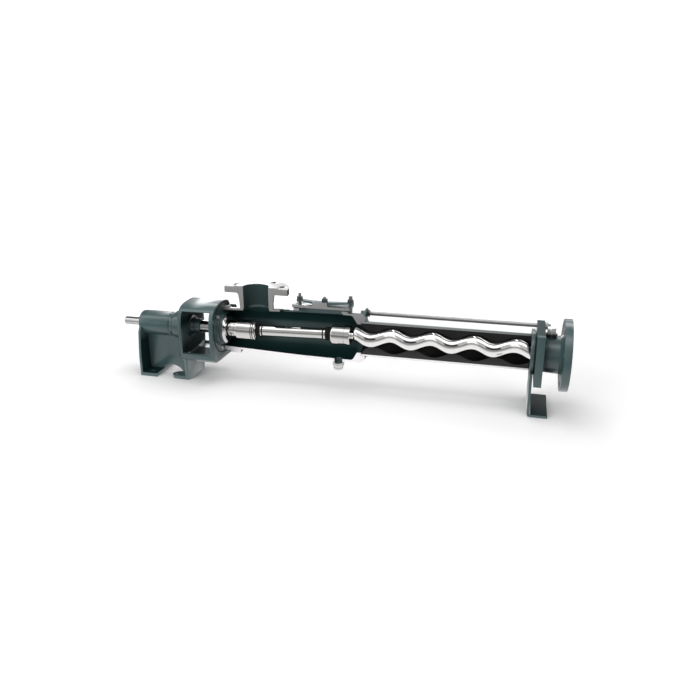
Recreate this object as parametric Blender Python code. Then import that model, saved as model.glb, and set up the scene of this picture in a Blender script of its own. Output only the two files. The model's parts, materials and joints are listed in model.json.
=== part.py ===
"""Progressive cavity pump, cut open along the vertical plane through its axis.

Row frame, metres: +X runs along the pump axis from the drive shaft to the discharge flange, +Z is up, and the
origin lies on the ground under the middle of the pump. The cut plane is Y = 0: the suction housing, its
cover, the stator tube and the rubber stator keep only their +Y half.
Stations are distances along the axis, counted from just left of the drive shaft's tip.
"""

import math

import bmesh
import bpy
from mathutils import Matrix, Vector

# Driving dimensions
SHAFT_TIP, DISCHARGE_FACE = 0.0055, 1.3575
MIDDLE = (SHAFT_TIP + DISCHARGE_FACE) / 2
AXIS_Z = 0.1605
GAP = 0.0003
SIDES = 48
HALF_STEP = 180.0 / SIDES
ROUND = 32
FAR = 1.0

# Rotor and stator
PITCH = 0.1164
CREST_STATION = 0.8676
ECCENTRICITY = 0.0081
ROTOR_RADIUS = 0.0225
STATOR_CLEARANCE = 0.0008
ROTOR_START, ROTOR_END = 0.7525, 1.2570
ROTOR_NECK_START, ROTOR_NECK_RADIUS = 0.7428, 0.0110
RINGS_PER_PITCH = 20
ROTOR_SIDES = 20
SLOT_END_SIDES = 10
SLOT_FLAT_STEPS = 4
STATOR_START, STATOR_END = 0.7715, 1.2512
RUBBER_RADIUS, TUBE_INNER, TUBE_OUTER = 0.0471, 0.0474, 0.0525
INLET_RADIUS, INLET_LENGTH = 0.0455, 0.0220

# Drive train
SHAFT_RADIUS, SHAFT_WIDE_RADIUS = 0.0120, 0.0185
SHAFT_SHOULDER, SHAFT_END = 0.0900, 0.3610
SLEEVE_START, SLEEVE_STEP, SLEEVE_GROOVE, SLEEVE_END = 0.3615, 0.3890, 0.4362, 0.4495
SLEEVE_RADIUS, SLEEVE_SMALL_RADIUS = 0.0293, 0.0240
BOOT_RADIUS = 0.0200
DRIVE_BOOT_LENGTH, ROTOR_BOOT_LENGTH = 0.0120, 0.0150
ROD_RADIUS, ROD_RING_RADIUS = 0.0160, 0.0178
ROD_GAP = 0.0008
DRIVE_JOINT, ROTOR_JOINT = 0.4250, 0.7050
ROTOR_SLEEVE_START, ROTOR_SLEEVE_GROOVE, ROTOR_SLEEVE_END = 0.6829, 0.7255, 0.7425
ROTOR_SLEEVE_RADIUS = 0.0300

# Bearing housing, lantern and feet
BEARING_FACE, COVER_JOINT = 0.0685, 0.0945
BEARING_RADIUS = 0.0380
BEARING_BORE = 0.0195
WALL_START, WALL_END = 0.0720, 0.0800
COLLAR_RADIUS, COLLAR_END = 0.0440, 0.2090
DRUM_START, DRUM_END = 0.2315, 0.3400
LANTERN_TOP, LANTERN_SIDE, LANTERN_BOTTOM = 0.0850, 0.0830, 0.0920
NEAR_ARCH_POWER, FAR_ARCH_POWER = 3.2, 2.4
LANTERN_WALL = 0.0100
ROOM_START = 0.2335
RING_START, RING_BORE = 0.3280, 0.0740
NEAR_WINDOW = (0.2390, 0.3280, -0.0635, 0.0655)
FAR_WINDOW = (0.2340, 0.3275, -0.0720, 0.0600)
NOTCH_Y, NOTCH_HEIGHT = 0.0470, 0.0550
FOOT_HALF, WALL_TOP_HALF = 0.0570, 0.0480
FOOT_THICK = 0.0110
TOE_RADIUS, TOE_NOTCH = 0.0185, 0.2000
LEFT_FOOT_END, TOE_START = 0.1280, 0.1760
LEG_START, LEG_END = 0.2265, 0.2370
WEB_HALF = 0.0045
WEB_ARCH = (
    (0.1160, -0.1545), (0.1195, -0.1475), (0.1250, -0.1425), (0.1335, -0.1390), (0.1450, -0.1368),
    (0.1570, -0.1362), (0.1680, -0.1376), (0.1770, -0.1415), (0.1850, -0.1462), (0.1905, -0.1545),
)
FOOT_HOLE_RADIUS = 0.0060

# Seal
SEAL_START, SEAL_END, SEAL_RADIUS = 0.3283, 0.3400, 0.0736
SEAL_HUB_END, SEAL_HUB_RADIUS = 0.3505, 0.0480
SEAL_RING_END, SEAL_RING_RADIUS, SEAL_BORE = 0.3605, 0.0460, 0.0290

# Ear for a bolt beside the seal
EAR_END, EAR_RADIUS, EAR_Y, EAR_HEIGHT = 0.3560, 0.0100, 0.0580, 0.0500

# Suction housing
HOUSING_START, HOUSING_END = 0.3403, 0.7835
HOUSING_INSIDE = (
    (0.3403, 0.0580), (0.3955, 0.0602), (0.5085, 0.0643), (0.5835, 0.0670), (0.6900, 0.0685),
    (0.7475, 0.0688),
)
HOUSING_WALL = 0.0062
SPIGOT_RADIUS, SPIGOT_END = 0.0700, 0.3560
CAVITY_END, BOSS_CONE_END = 0.7475, 0.7600
BOSS_START, BOSS_RADIUS = 0.7480, 0.0740
THROAT_RADIUS = 0.0440
SUCTION_STATION, SUCTION_FACE = 0.4487, 0.1355
FLANGE_RADIUS, BORE_RADIUS, RAISED_RADIUS, RAISED_HEIGHT = 0.1000, 0.0400, 0.0690, 0.0030
FLANGE_THICK, FLANGE_PCR, FLANGE_HOLE_RADIUS, FLANGE_HOLES = 0.0184, 0.0800, 0.0090, 8
NECK_RADIUS = 0.0530
COVER_START, COVER_END, COVER_HALF = 0.5620, 0.7380, 0.0520
OPENING_START, OPENING_END, OPENING_HALF = 0.5835, 0.7135, 0.0340
PAD_TOP, GASKET_THICK, COVER_THICK = 0.0790, 0.0018, 0.0085
BLOCK_START, BLOCK_END, BLOCK_TOP, BLOCK_HALF = 0.6240, 0.6700, 0.1020, 0.0300
DRAIN_STATION, DRAIN_RADIUS, DRAIN_BOSS_RADIUS, DRAIN_BOSS_END = 0.7030, 0.0122, 0.0180, -0.0780

# Clamp over the cleanout cover
CLAMP_Y = 0.0100
STUD_RADIUS, STUD_NUT_RADIUS, STUD_NUT_HEIGHT = 0.0045, 0.0090, 0.0100
STUD_STATIONS = (0.5840, 0.7380)
SCREW_STATION = 0.6600
RIGHT_STUD_RADIUS, STUD_FOOT = 0.0058, 0.0750
BAR_HALF, BAR_TOP, BAR_MIDDLE_TOP, BAR_END_THICK = 0.0075, 0.1045, 0.1020, 0.0045
BAR_OVERHANG = 0.0088

# Discharge end
RING_PLATE_START, RING_PLATE_END, RING_PLATE_RADIUS = 1.2515, 1.2615, 0.0665
RING_PLATE_BORE = 0.0440
RING_HUB_RADIUS = 0.0600
TIE_PLATE_START, TIE_PLATE_END, TIE_PLATE_HALF = 1.2653, 1.2860, 0.0740
DISCHARGE_START = 1.2863
DISCHARGE_RADIUS, DISCHARGE_FLARE = 0.0505, 0.0545
DISCHARGE_FLANGE_START, DISCHARGE_FLANGE_END = 1.3350, 1.3555
TIE_OFFSET, TIE_RADIUS = 0.0610, 0.0060
TIE_START, TIE_END = 0.7680, 1.3025
TIE_NUT_RADIUS, TIE_NUT_THICK = 0.0106, 0.0100
LUG_START, LUG_END, LUG_RADIUS = 0.7580, 0.7775, 0.0155
GAUGE_STATION, GAUGE_BOSS_RADIUS, GAUGE_BOSS_TOP = 1.3030, 0.0140, 0.0560
GAUGE_HEX_RADIUS, GAUGE_HEX_TOP = 0.0135, 0.0770

# Foot bracket
BRACKET_START, BRACKET_THICK = 1.2540, 0.0070
BRACKET_HALF, BRACKET_END, BRACKET_TOP = 0.0762, 1.3095, 0.1225
BRACKET_BEND = 0.0090
BRACKET_CUT_RADIUS = 0.0680


def along(station):
    """X of a station, in the row frame."""
    return station - MIDDLE


def above(height):
    """Z of a height measured from the pump axis."""
    return AXIS_Z + height


def clear_scene():
    for thing in list(bpy.data.objects):
        bpy.data.objects.remove(thing, do_unlink=True)


def paint(name, color, roughness, metallic):
    """A Principled material."""
    material = bpy.data.materials.new(name)
    material.use_nodes = True
    shader = material.node_tree.nodes["Principled BSDF"]
    shader.inputs["Base Color"].default_value = (*color, 1.0)
    shader.inputs["Roughness"].default_value = roughness
    shader.inputs["Metallic"].default_value = metallic
    return material


def add_object(name, bm, material=None):
    """Closes a bmesh into a scene object, with its faces turned outward."""
    bmesh.ops.recalc_face_normals(bm, faces=bm.faces)
    mesh = bpy.data.meshes.new(name)
    bm.to_mesh(mesh)
    bm.free()
    mesh.shade_smooth()
    mesh.set_sharp_from_angle(angle=math.radians(30))
    thing = bpy.data.objects.new(name, mesh)
    bpy.context.scene.collection.objects.link(thing)
    if material:
        mesh.materials.append(material)
    return thing


def helper(thing):
    """Marks an object that only cuts or joins another one."""
    thing.hide_render = True
    thing.display_type = "WIRE"
    return thing


def combine(target, operation, *tools):
    """Joins tools to the target, cuts them from it, or keeps what they share."""
    for tool in tools:
        step = target.modifiers.new(operation.lower() + "_" + tool.name, "BOOLEAN")
        step.operation = operation
        step.solver = "EXACT"
        step.object = helper(tool)
    return target


def revolve(profile, sides=SIDES, start=0.0, sweep=360.0, axis_height=None):
    """Turns a closed (station, radius) outline about the pump axis, wholly or in part."""
    height = AXIS_Z if axis_height is None else axis_height
    whole = sweep >= 360.0
    bm = bmesh.new()
    poles = {i: bm.verts.new((along(s), 0.0, height)) for i, (s, r) in enumerate(profile) if r < 1e-9}
    rings = []
    for i in range(sides if whole else sides + 1):
        angle = math.radians(start + sweep * i / sides)
        rings.append([
            poles[j] if j in poles else
            bm.verts.new((along(s), r * math.cos(angle), height + r * math.sin(angle)))
            for j, (s, r) in enumerate(profile)
        ])
    for i in range(sides):
        first, second = rings[i], rings[(i + 1) % len(rings)]
        for j in range(len(profile)):
            k = (j + 1) % len(profile)
            corners = [first[j], first[k], second[k], second[j]]
            face = [v for n, v in enumerate(corners) if v not in corners[:n]]
            if len(face) > 2:
                bm.faces.new(face)
    if not whole:
        bm.faces.new(rings[0])
        bm.faces.new(rings[-1])
    return bm


def upright(profile, station, y=0.0, sides=SIDES, turn=0.0):
    """Turns a closed (radius, height above the axis) outline about a vertical line."""
    bm = bmesh.new()
    poles = {
        i: bm.verts.new((along(station), y, above(h))) for i, (r, h) in enumerate(profile) if r < 1e-9
    }
    rings = []
    for i in range(sides):
        angle = math.radians(turn) + math.tau * i / sides
        rings.append([
            poles[j] if j in poles else
            bm.verts.new((along(station) + r * math.cos(angle), y + r * math.sin(angle), above(h)))
            for j, (r, h) in enumerate(profile)
        ])
    for i in range(sides):
        first, second = rings[i], rings[(i + 1) % sides]
        for j in range(len(profile)):
            k = (j + 1) % len(profile)
            corners = [first[j], first[k], second[k], second[j]]
            face = [v for n, v in enumerate(corners) if v not in corners[:n]]
            if len(face) > 2:
                bm.faces.new(face)
    return bm


def loft(sections, twisted=False):
    """Joins like-numbered closed sections into one solid with flat ends."""
    bm = bmesh.new()
    rings = [[bm.verts.new(point) for point in section] for section in sections]
    count = len(rings[0])
    for first, second in zip(rings, rings[1:]):
        for j in range(count):
            k = (j + 1) % count
            if twisted:
                bm.faces.new([first[j], first[k], second[j]])
                bm.faces.new([first[k], second[k], second[j]])
            else:
                bm.faces.new([first[j], first[k], second[k], second[j]])
    bm.faces.new(rings[0])
    bm.faces.new(rings[-1])
    return bm


def across(outline, start, end):
    """Extrudes a (y, height above the axis) outline between two stations."""
    return loft([[(along(s), y, above(h)) for y, h in outline] for s in (start, end)])


def sideways(outline, y_low, y_high):
    """Extrudes a (station, height above the axis) outline between two values of Y."""
    return loft([[(along(s), y, above(h)) for s, h in outline] for y in (y_low, y_high)])


def box(start, end, y_low, y_high, low, high):
    """A box between two stations; its heights are measured from the axis."""
    return across([(y_low, low), (y_high, low), (y_high, high), (y_low, high)], start, end)


def ring_points(station, radius, y=0.0, height=0.0, sides=SIDES, turn=0.0):
    """Points round a circle across the pump axis."""
    angles = [math.radians(turn) + math.tau * i / sides for i in range(sides)]
    return [(along(station), y + radius * math.cos(a), above(height + radius * math.sin(a))) for a in angles]


def cylinder(start, end, radius, y=0.0, height=0.0, sides=SIDES, turn=0.0):
    """A rod parallel to the pump axis."""
    return loft([ring_points(s, radius, y, height, sides, turn) for s in (start, end)])


def post(station, y, low, high, radius, sides=24, turn=7.5):
    """An upright rod; its heights are measured from the axis."""
    return upright([(0, low), (radius, low), (radius, high), (0, high)], station, y, sides, turn)


def front_half(name):
    """The space in front of the cut plane."""
    return add_object(name, box(-FAR, 2 * FAR, -FAR, 0.0, -FAR, FAR))


def lantern_radius(angle, top, side, bottom):
    """Distance from the axis to the lantern's outline: an arch above, straight sides and a flat bottom."""
    c, s = math.cos(angle), math.sin(angle)
    if s < 0:
        power, height = 9.0, bottom
    else:
        power, height = (NEAR_ARCH_POWER if c < 0 else FAR_ARCH_POWER), top
    return (abs(c / side) ** power + abs(s / height) ** power) ** (-1 / power)


def lantern_section(station, top, side, bottom):
    points = []
    for i in range(SIDES):
        angle = math.tau * i / SIDES
        radius = lantern_radius(angle, top, side, bottom)
        points.append((along(station), radius * math.cos(angle), above(radius * math.sin(angle))))
    return points


def make_bearing_lantern(material):
    """One casting: bearing housing, web, two feet, and the lantern with its side windows."""
    housing = add_object("bearing_lantern", revolve([
        (WALL_START, BEARING_BORE), (WALL_START, 0.0370), (COVER_JOINT - 0.001, BEARING_RADIUS),
        (0.1665, BEARING_RADIUS), (0.1720, 0.0345), (0.1765, 0.0345), (0.1815, 0.0375), (0.1860, 0.0425),
        (0.1950, COLLAR_RADIUS), (COLLAR_END + 0.006, COLLAR_RADIUS), (COLLAR_END + 0.006, BEARING_BORE),
    ], start=HALF_STEP), material)
    full = (LANTERN_TOP, LANTERN_SIDE, LANTERN_BOTTOM)
    drum = add_object("lantern_outside", loft([
        lantern_section(COLLAR_END - 0.002, 0.036, 0.036, 0.036),
        lantern_section(COLLAR_END, COLLAR_RADIUS + 0.001, COLLAR_RADIUS + 0.001, COLLAR_RADIUS + 0.001),
        lantern_section(COLLAR_END + 0.005, 0.056, 0.055, 0.056),
        lantern_section(DRUM_START - 0.006, *(size - 0.004 for size in full)),
        lantern_section(DRUM_START, *full),
        lantern_section(DRUM_END, *full),
    ]))
    wall_outline = [
        (FOOT_HALF, -AXIS_Z), (FOOT_HALF, -0.100), (WALL_TOP_HALF, -0.020), (0.030, 0.010),
        (-0.030, 0.010), (-WALL_TOP_HALF, -0.020), (-FOOT_HALF, -0.100), (-FOOT_HALF, -AXIS_Z),
    ]
    end_wall = add_object("end_wall", across(wall_outline, WALL_START + 0.0005, WALL_END))
    web = add_object("centre_web", sideways(
        [(0.076, -0.030), (0.076, -AXIS_Z + 0.006), *WEB_ARCH, (0.232, -AXIS_Z + 0.006), (0.232, -0.030)],
        -WEB_HALF, WEB_HALF))
    left_foot = add_object("left_foot", box(
        WALL_START + 0.0005, LEFT_FOOT_END, -FOOT_HALF, FOOT_HALF, -AXIS_Z, FOOT_THICK - AXIS_Z))
    toe_middle = FOOT_HALF - TOE_RADIUS
    near_toe = [
        (TOE_START + TOE_RADIUS * (1 - math.cos(a)), -toe_middle - TOE_RADIUS * math.sin(a))
        for a in map(math.radians, range(90, -91, -15))
    ]
    far_toe = [(station, -y) for station, y in reversed(near_toe)]
    toe_outline = [(LEG_END, -FOOT_HALF), *near_toe, (TOE_NOTCH, 2 * TOE_RADIUS - FOOT_HALF)]
    toe_outline += [(TOE_NOTCH, FOOT_HALF - 2 * TOE_RADIUS), *far_toe, (LEG_END, FOOT_HALF)]
    right_foot = add_object("right_foot", loft([
        [(along(s), y, z) for s, y in toe_outline] for z in (0.0, FOOT_THICK)]))
    leg = add_object("leg_plate", box(
        LEG_START, LEG_END, -FOOT_HALF, FOOT_HALF, -AXIS_Z, -LANTERN_BOTTOM + 0.006))
    combine(housing, "UNION", drum, end_wall, web, left_foot, right_foot, leg)
    inner = [size - LANTERN_WALL for size in full]
    room = add_object("lantern_room", loft([
        lantern_section(ROOM_START, *(size - 0.006 for size in inner)),
        lantern_section(ROOM_START + 0.005, *inner),
        lantern_section(RING_START, *inner),
    ]))
    ring_bore = add_object("ring_bore", cylinder(
        RING_START - 0.002, DRUM_END + 0.01, RING_BORE, turn=HALF_STEP))
    windows = [
        add_object(name, sideways([(s0, low), (s1, low), (s1, high), (s0, high)], *reach))
        for name, (s0, s1, low, high), reach in (
            ("near_window", NEAR_WINDOW, (-FAR, -0.005)), ("far_window", FAR_WINDOW, (0.005, FAR)))
    ]
    notch = add_object("ring_notch", box(
        RING_START + 0.0005, DRUM_END + 0.01, NOTCH_Y, FAR, NOTCH_HEIGHT, FAR))
    shaft_bore = add_object("shaft_bore", cylinder(
        WALL_START - 0.01, 0.25, BEARING_BORE, sides=SIDES, turn=HALF_STEP))
    combine(housing, "DIFFERENCE", room, ring_bore, *windows, notch, shaft_bore)
    for i, station in enumerate((0.105, TOE_START + TOE_RADIUS)):
        for j, side in enumerate((-1, 1)):
            hole = add_object(f"foot_hole_{i}_{j}", post(
                station, side * toe_middle, -AXIS_Z - 0.01, FOOT_THICK - AXIS_Z + 0.01,
                FOOT_HOLE_RADIUS, 16))
            combine(housing, "DIFFERENCE", hole)
    return housing


def make_drive(stainless, steel, rubber, cast):
    """Bearing covers, seal, shaft and the joint on its end."""
    shaft_fit = SHAFT_RADIUS + GAP
    add_object("drive_end_cover", revolve([
        (BEARING_FACE, shaft_fit), (BEARING_FACE, 0.0335), (BEARING_FACE + 0.001, 0.0353),
        (WALL_START - GAP, 0.0368), (WALL_START - GAP, shaft_fit),
    ], ROUND), cast)
    wide_fit = SHAFT_WIDE_RADIUS + GAP
    hub_start, hub_step, hub_end = ROOM_START + GAP, 0.2500, 0.2680
    add_object("inner_bearing_cover", revolve([
        (hub_start, wide_fit), (hub_start, 0.0330), (hub_start + 0.004, 0.0330), (hub_start + 0.006, 0.0265),
        (hub_step, 0.0255), (hub_step + 0.001, 0.0230), (hub_end, 0.0225), (hub_end, wide_fit),
    ], ROUND), cast)
    add_object("drive_shaft", revolve([
        (SHAFT_TIP, 0.0), (SHAFT_TIP, SHAFT_RADIUS - 0.001), (SHAFT_TIP + 0.001, SHAFT_RADIUS),
        (SHAFT_SHOULDER, SHAFT_RADIUS), (SHAFT_SHOULDER, SHAFT_WIDE_RADIUS), (SHAFT_END, SHAFT_WIDE_RADIUS),
        (SHAFT_END, 0.0),
    ], ROUND), steel)
    seal_step = SEAL_START + 0.004
    add_object("seal_housing", revolve([
        (SEAL_START, 0.0215), (SEAL_START, SEAL_RADIUS), (SEAL_END - 0.002, SEAL_RADIUS),
        (SEAL_END, SEAL_RADIUS - 0.002), (SEAL_END, SEAL_HUB_RADIUS + 0.002),
        (SEAL_END + 0.002, SEAL_HUB_RADIUS), (SEAL_HUB_END, SEAL_HUB_RADIUS), (SEAL_HUB_END, SEAL_BORE),
        (seal_step, SEAL_BORE), (seal_step, 0.0215),
    ]), cast)
    add_object("seal_face_ring", revolve([
        (SEAL_HUB_END + GAP, SEAL_BORE), (SEAL_HUB_END + GAP, SEAL_RING_RADIUS),
        (SEAL_HUB_END + 0.0040, SEAL_RING_RADIUS), (SEAL_RING_END, SEAL_RING_RADIUS - 0.006),
        (SEAL_RING_END, SEAL_BORE),
    ]), stainless)
    add_object("shaft_seal", revolve([
        (seal_step + GAP, wide_fit), (seal_step + GAP, SEAL_BORE - GAP),
        (SEAL_RING_END - 0.004, SEAL_BORE - GAP),
        (SEAL_RING_END - 0.004, wide_fit),
    ], ROUND), rubber)
    add_object("drive_joint_sleeve", revolve([
        (SLEEVE_START, 0.0), (SLEEVE_START, SLEEVE_SMALL_RADIUS - 0.002),
        (SLEEVE_START + 0.002, SLEEVE_SMALL_RADIUS), (SLEEVE_STEP - 0.002, SLEEVE_SMALL_RADIUS),
        (SLEEVE_STEP - 0.001, SLEEVE_SMALL_RADIUS - 0.0015), (SLEEVE_STEP, SLEEVE_SMALL_RADIUS - 0.0015),
        (SLEEVE_STEP, SLEEVE_RADIUS - 0.001), (SLEEVE_STEP + 0.001, SLEEVE_RADIUS),
        (SLEEVE_GROOVE - 0.001, SLEEVE_RADIUS), (SLEEVE_GROOVE, SLEEVE_RADIUS - 0.0015),
        (SLEEVE_GROOVE + 0.001, SLEEVE_RADIUS), (SLEEVE_END - 0.004, SLEEVE_RADIUS),
        (SLEEVE_END, SLEEVE_RADIUS - 0.006), (SLEEVE_END, 0.0),
    ], ROUND), stainless)
    boot_start = SLEEVE_END + GAP
    add_object("drive_joint_boot", revolve(
        boot_profile(boot_start, boot_start + DRIVE_BOOT_LENGTH), ROUND), rubber)


def boot_profile(start, end):
    """A short rubber boot with one groove round it."""
    middle = (start + end) / 2
    return [
        (start, 0.0), (start, BOOT_RADIUS), (middle - 0.003, BOOT_RADIUS), (middle, BOOT_RADIUS - 0.003),
        (middle + 0.003, BOOT_RADIUS), (end, BOOT_RADIUS - 0.002), (end, 0.0),
    ]


def make_rod(stainless, rubber):
    """The coupling rod on the line between the joints, and the boot on the rotor's axis."""
    rise = ECCENTRICITY
    reach = ROTOR_JOINT - DRIVE_JOINT
    tilt = math.atan2(rise, reach)
    start = SLEEVE_END + GAP + DRIVE_BOOT_LENGTH + ROD_GAP
    end = ROTOR_SLEEVE_START - GAP - ROTOR_BOOT_LENGTH - ROD_GAP
    ring = 0.0062
    groove = 0.0010
    pivot = bpy.data.objects.new("drive_joint_pivot", None)
    bpy.context.scene.collection.objects.link(pivot)
    pivot.location = (along(DRIVE_JOINT), 0.0, AXIS_Z)
    pivot.rotation_euler = (0.0, -tilt, 0.0)
    bm = revolve([
        (start, 0.0), (start, ROD_RING_RADIUS), (start + ring, ROD_RING_RADIUS),
        (start + ring, ROD_RADIUS - groove), (start + ring + groove, ROD_RADIUS),
        (end - ring - groove, ROD_RADIUS), (end - ring, ROD_RADIUS - groove), (end - ring, ROD_RING_RADIUS),
        (end, ROD_RING_RADIUS), (end, 0.0),
    ], ROUND)
    bmesh.ops.transform(bm, matrix=Matrix.Translation(Vector((-along(DRIVE_JOINT), 0.0, -AXIS_Z))),
                        verts=bm.verts)
    rod = add_object("coupling_rod", bm, stainless)
    rod.parent = pivot
    boot_end = ROTOR_SLEEVE_START - GAP
    profile = boot_profile(boot_end, boot_end - ROTOR_BOOT_LENGTH)
    add_object("rotor_joint_boot", revolve(profile, ROUND, axis_height=above(ECCENTRICITY)), rubber)


def make_rotor(stainless):
    """The rotor's joint sleeve and the helical rotor, both about the rotor's own axis."""
    start, end, radius = ROTOR_SLEEVE_START, ROTOR_SLEEVE_END, ROTOR_SLEEVE_RADIUS
    corner = 0.008
    steps = 5
    rounded = [
        (start + corner * (1 - math.sin(a)), radius - corner * (1 - math.cos(a)))
        for a in (math.pi / 2 * (1 - i / steps) for i in range(steps + 1))
    ]
    groove = ROTOR_SLEEVE_GROOVE
    add_object("rotor_joint_sleeve", revolve([
        (start, 0.0), *rounded, (groove - 0.001, radius), (groove, radius - 0.0015), (groove + 0.001, radius),
        (end - 0.0015, radius), (end, radius - 0.0015), (end, 0.0),
    ], ROUND, axis_height=above(ECCENTRICITY)), stainless)

    def section(station, radius, reach):
        beta = math.pi / 2 + math.tau * (station - CREST_STATION) / PITCH
        y = reach * math.cos(beta)
        z = ECCENTRICITY + reach * math.sin(beta)
        return [
            (along(station), y + radius * math.cos(math.tau * i / ROTOR_SIDES),
             above(z + radius * math.sin(math.tau * i / ROTOR_SIDES)))
            for i in range(ROTOR_SIDES)
        ]

    sections = [
        section(ROTOR_NECK_START, ROTOR_NECK_RADIUS, 0.0),
        section(ROTOR_START - 0.003, ROTOR_NECK_RADIUS, 0.0),
        section(ROTOR_START - 0.001, ROTOR_RADIUS - 0.005, ECCENTRICITY * 0.6),
        section(ROTOR_START + 0.002, ROTOR_RADIUS - 0.0015, ECCENTRICITY),
    ]
    count = round((ROTOR_END - ROTOR_START - 0.005) / PITCH * RINGS_PER_PITCH)
    for i in range(count + 1):
        station = ROTOR_START + 0.005 + (ROTOR_END - ROTOR_START - 0.005) * i / count
        sections.append(section(station, ROTOR_RADIUS, ECCENTRICITY))
    add_object("rotor", loft(sections), stainless)


def slot_section(station, radius):
    """The stator's slot: two half rounds joined by flats, its long way turning half as fast as the rotor."""
    turn = math.pi / 2 + math.pi * (station - CREST_STATION) / PITCH
    reach = 2 * ECCENTRICITY
    outside = radius / math.cos(math.pi / (2 * SLOT_END_SIDES))
    points = []
    for side in (1, -1):
        for i in range(SLOT_END_SIDES):
            angle = math.pi * (i + 0.5) / SLOT_END_SIDES - math.pi / 2
            points.append((side * (reach + outside * math.cos(angle)), side * outside * math.sin(angle)))
        level = side * outside * math.cos(math.pi / (2 * SLOT_END_SIDES))
        points += [(side * reach * (1 - 2 * i / SLOT_FLAT_STEPS), level) for i in range(1, SLOT_FLAT_STEPS)]
    return [
        (along(station), u * math.cos(turn) - v * math.sin(turn),
         above(u * math.sin(turn) + v * math.cos(turn)))
        for u, v in points
    ]


def make_stator(rubber, paint_material):
    """The rubber stator with its helical slot, in its steel tube; both keep the half behind the cut."""
    stator = add_object("stator_rubber", revolve([
        (STATOR_START, 0.0), (STATOR_START, RUBBER_RADIUS), (STATOR_END, RUBBER_RADIUS), (STATOR_END, 0.0),
    ], sides=24, start=-90.0, sweep=180.0), rubber)
    start, end = STATOR_START - 0.01, STATOR_END + 0.01
    count = round((end - start) / PITCH * RINGS_PER_PITCH)
    slot = add_object("stator_slot", loft([
        slot_section(start + (end - start) * i / count, ROTOR_RADIUS + STATOR_CLEARANCE)
        for i in range(count + 1)
    ], twisted=True))
    inlet = add_object("stator_inlet", revolve([
        (STATOR_START - 0.01, 0.0), (STATOR_START - 0.01, INLET_RADIUS), (STATOR_START, INLET_RADIUS),
        (STATOR_START + INLET_LENGTH, 0.020), (STATOR_START + INLET_LENGTH, 0.0),
    ]))
    combine(stator, "DIFFERENCE", slot, inlet)
    add_object("stator_tube", revolve([
        (STATOR_START, TUBE_INNER), (STATOR_START, TUBE_OUTER), (STATOR_END, TUBE_OUTER),
        (STATOR_END, TUBE_INNER),
    ], sides=24, start=-90.0, sweep=180.0), paint_material)


def housing_inner(station):
    """Inner radius of the suction housing, which widens towards the stator."""
    for (s0, r0), (s1, r1) in zip(HOUSING_INSIDE, HOUSING_INSIDE[1:]):
        if station <= s1:
            return r0 + (r1 - r0) * (station - s0) / (s1 - s0)
    return HOUSING_INSIDE[-1][1]


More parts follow.
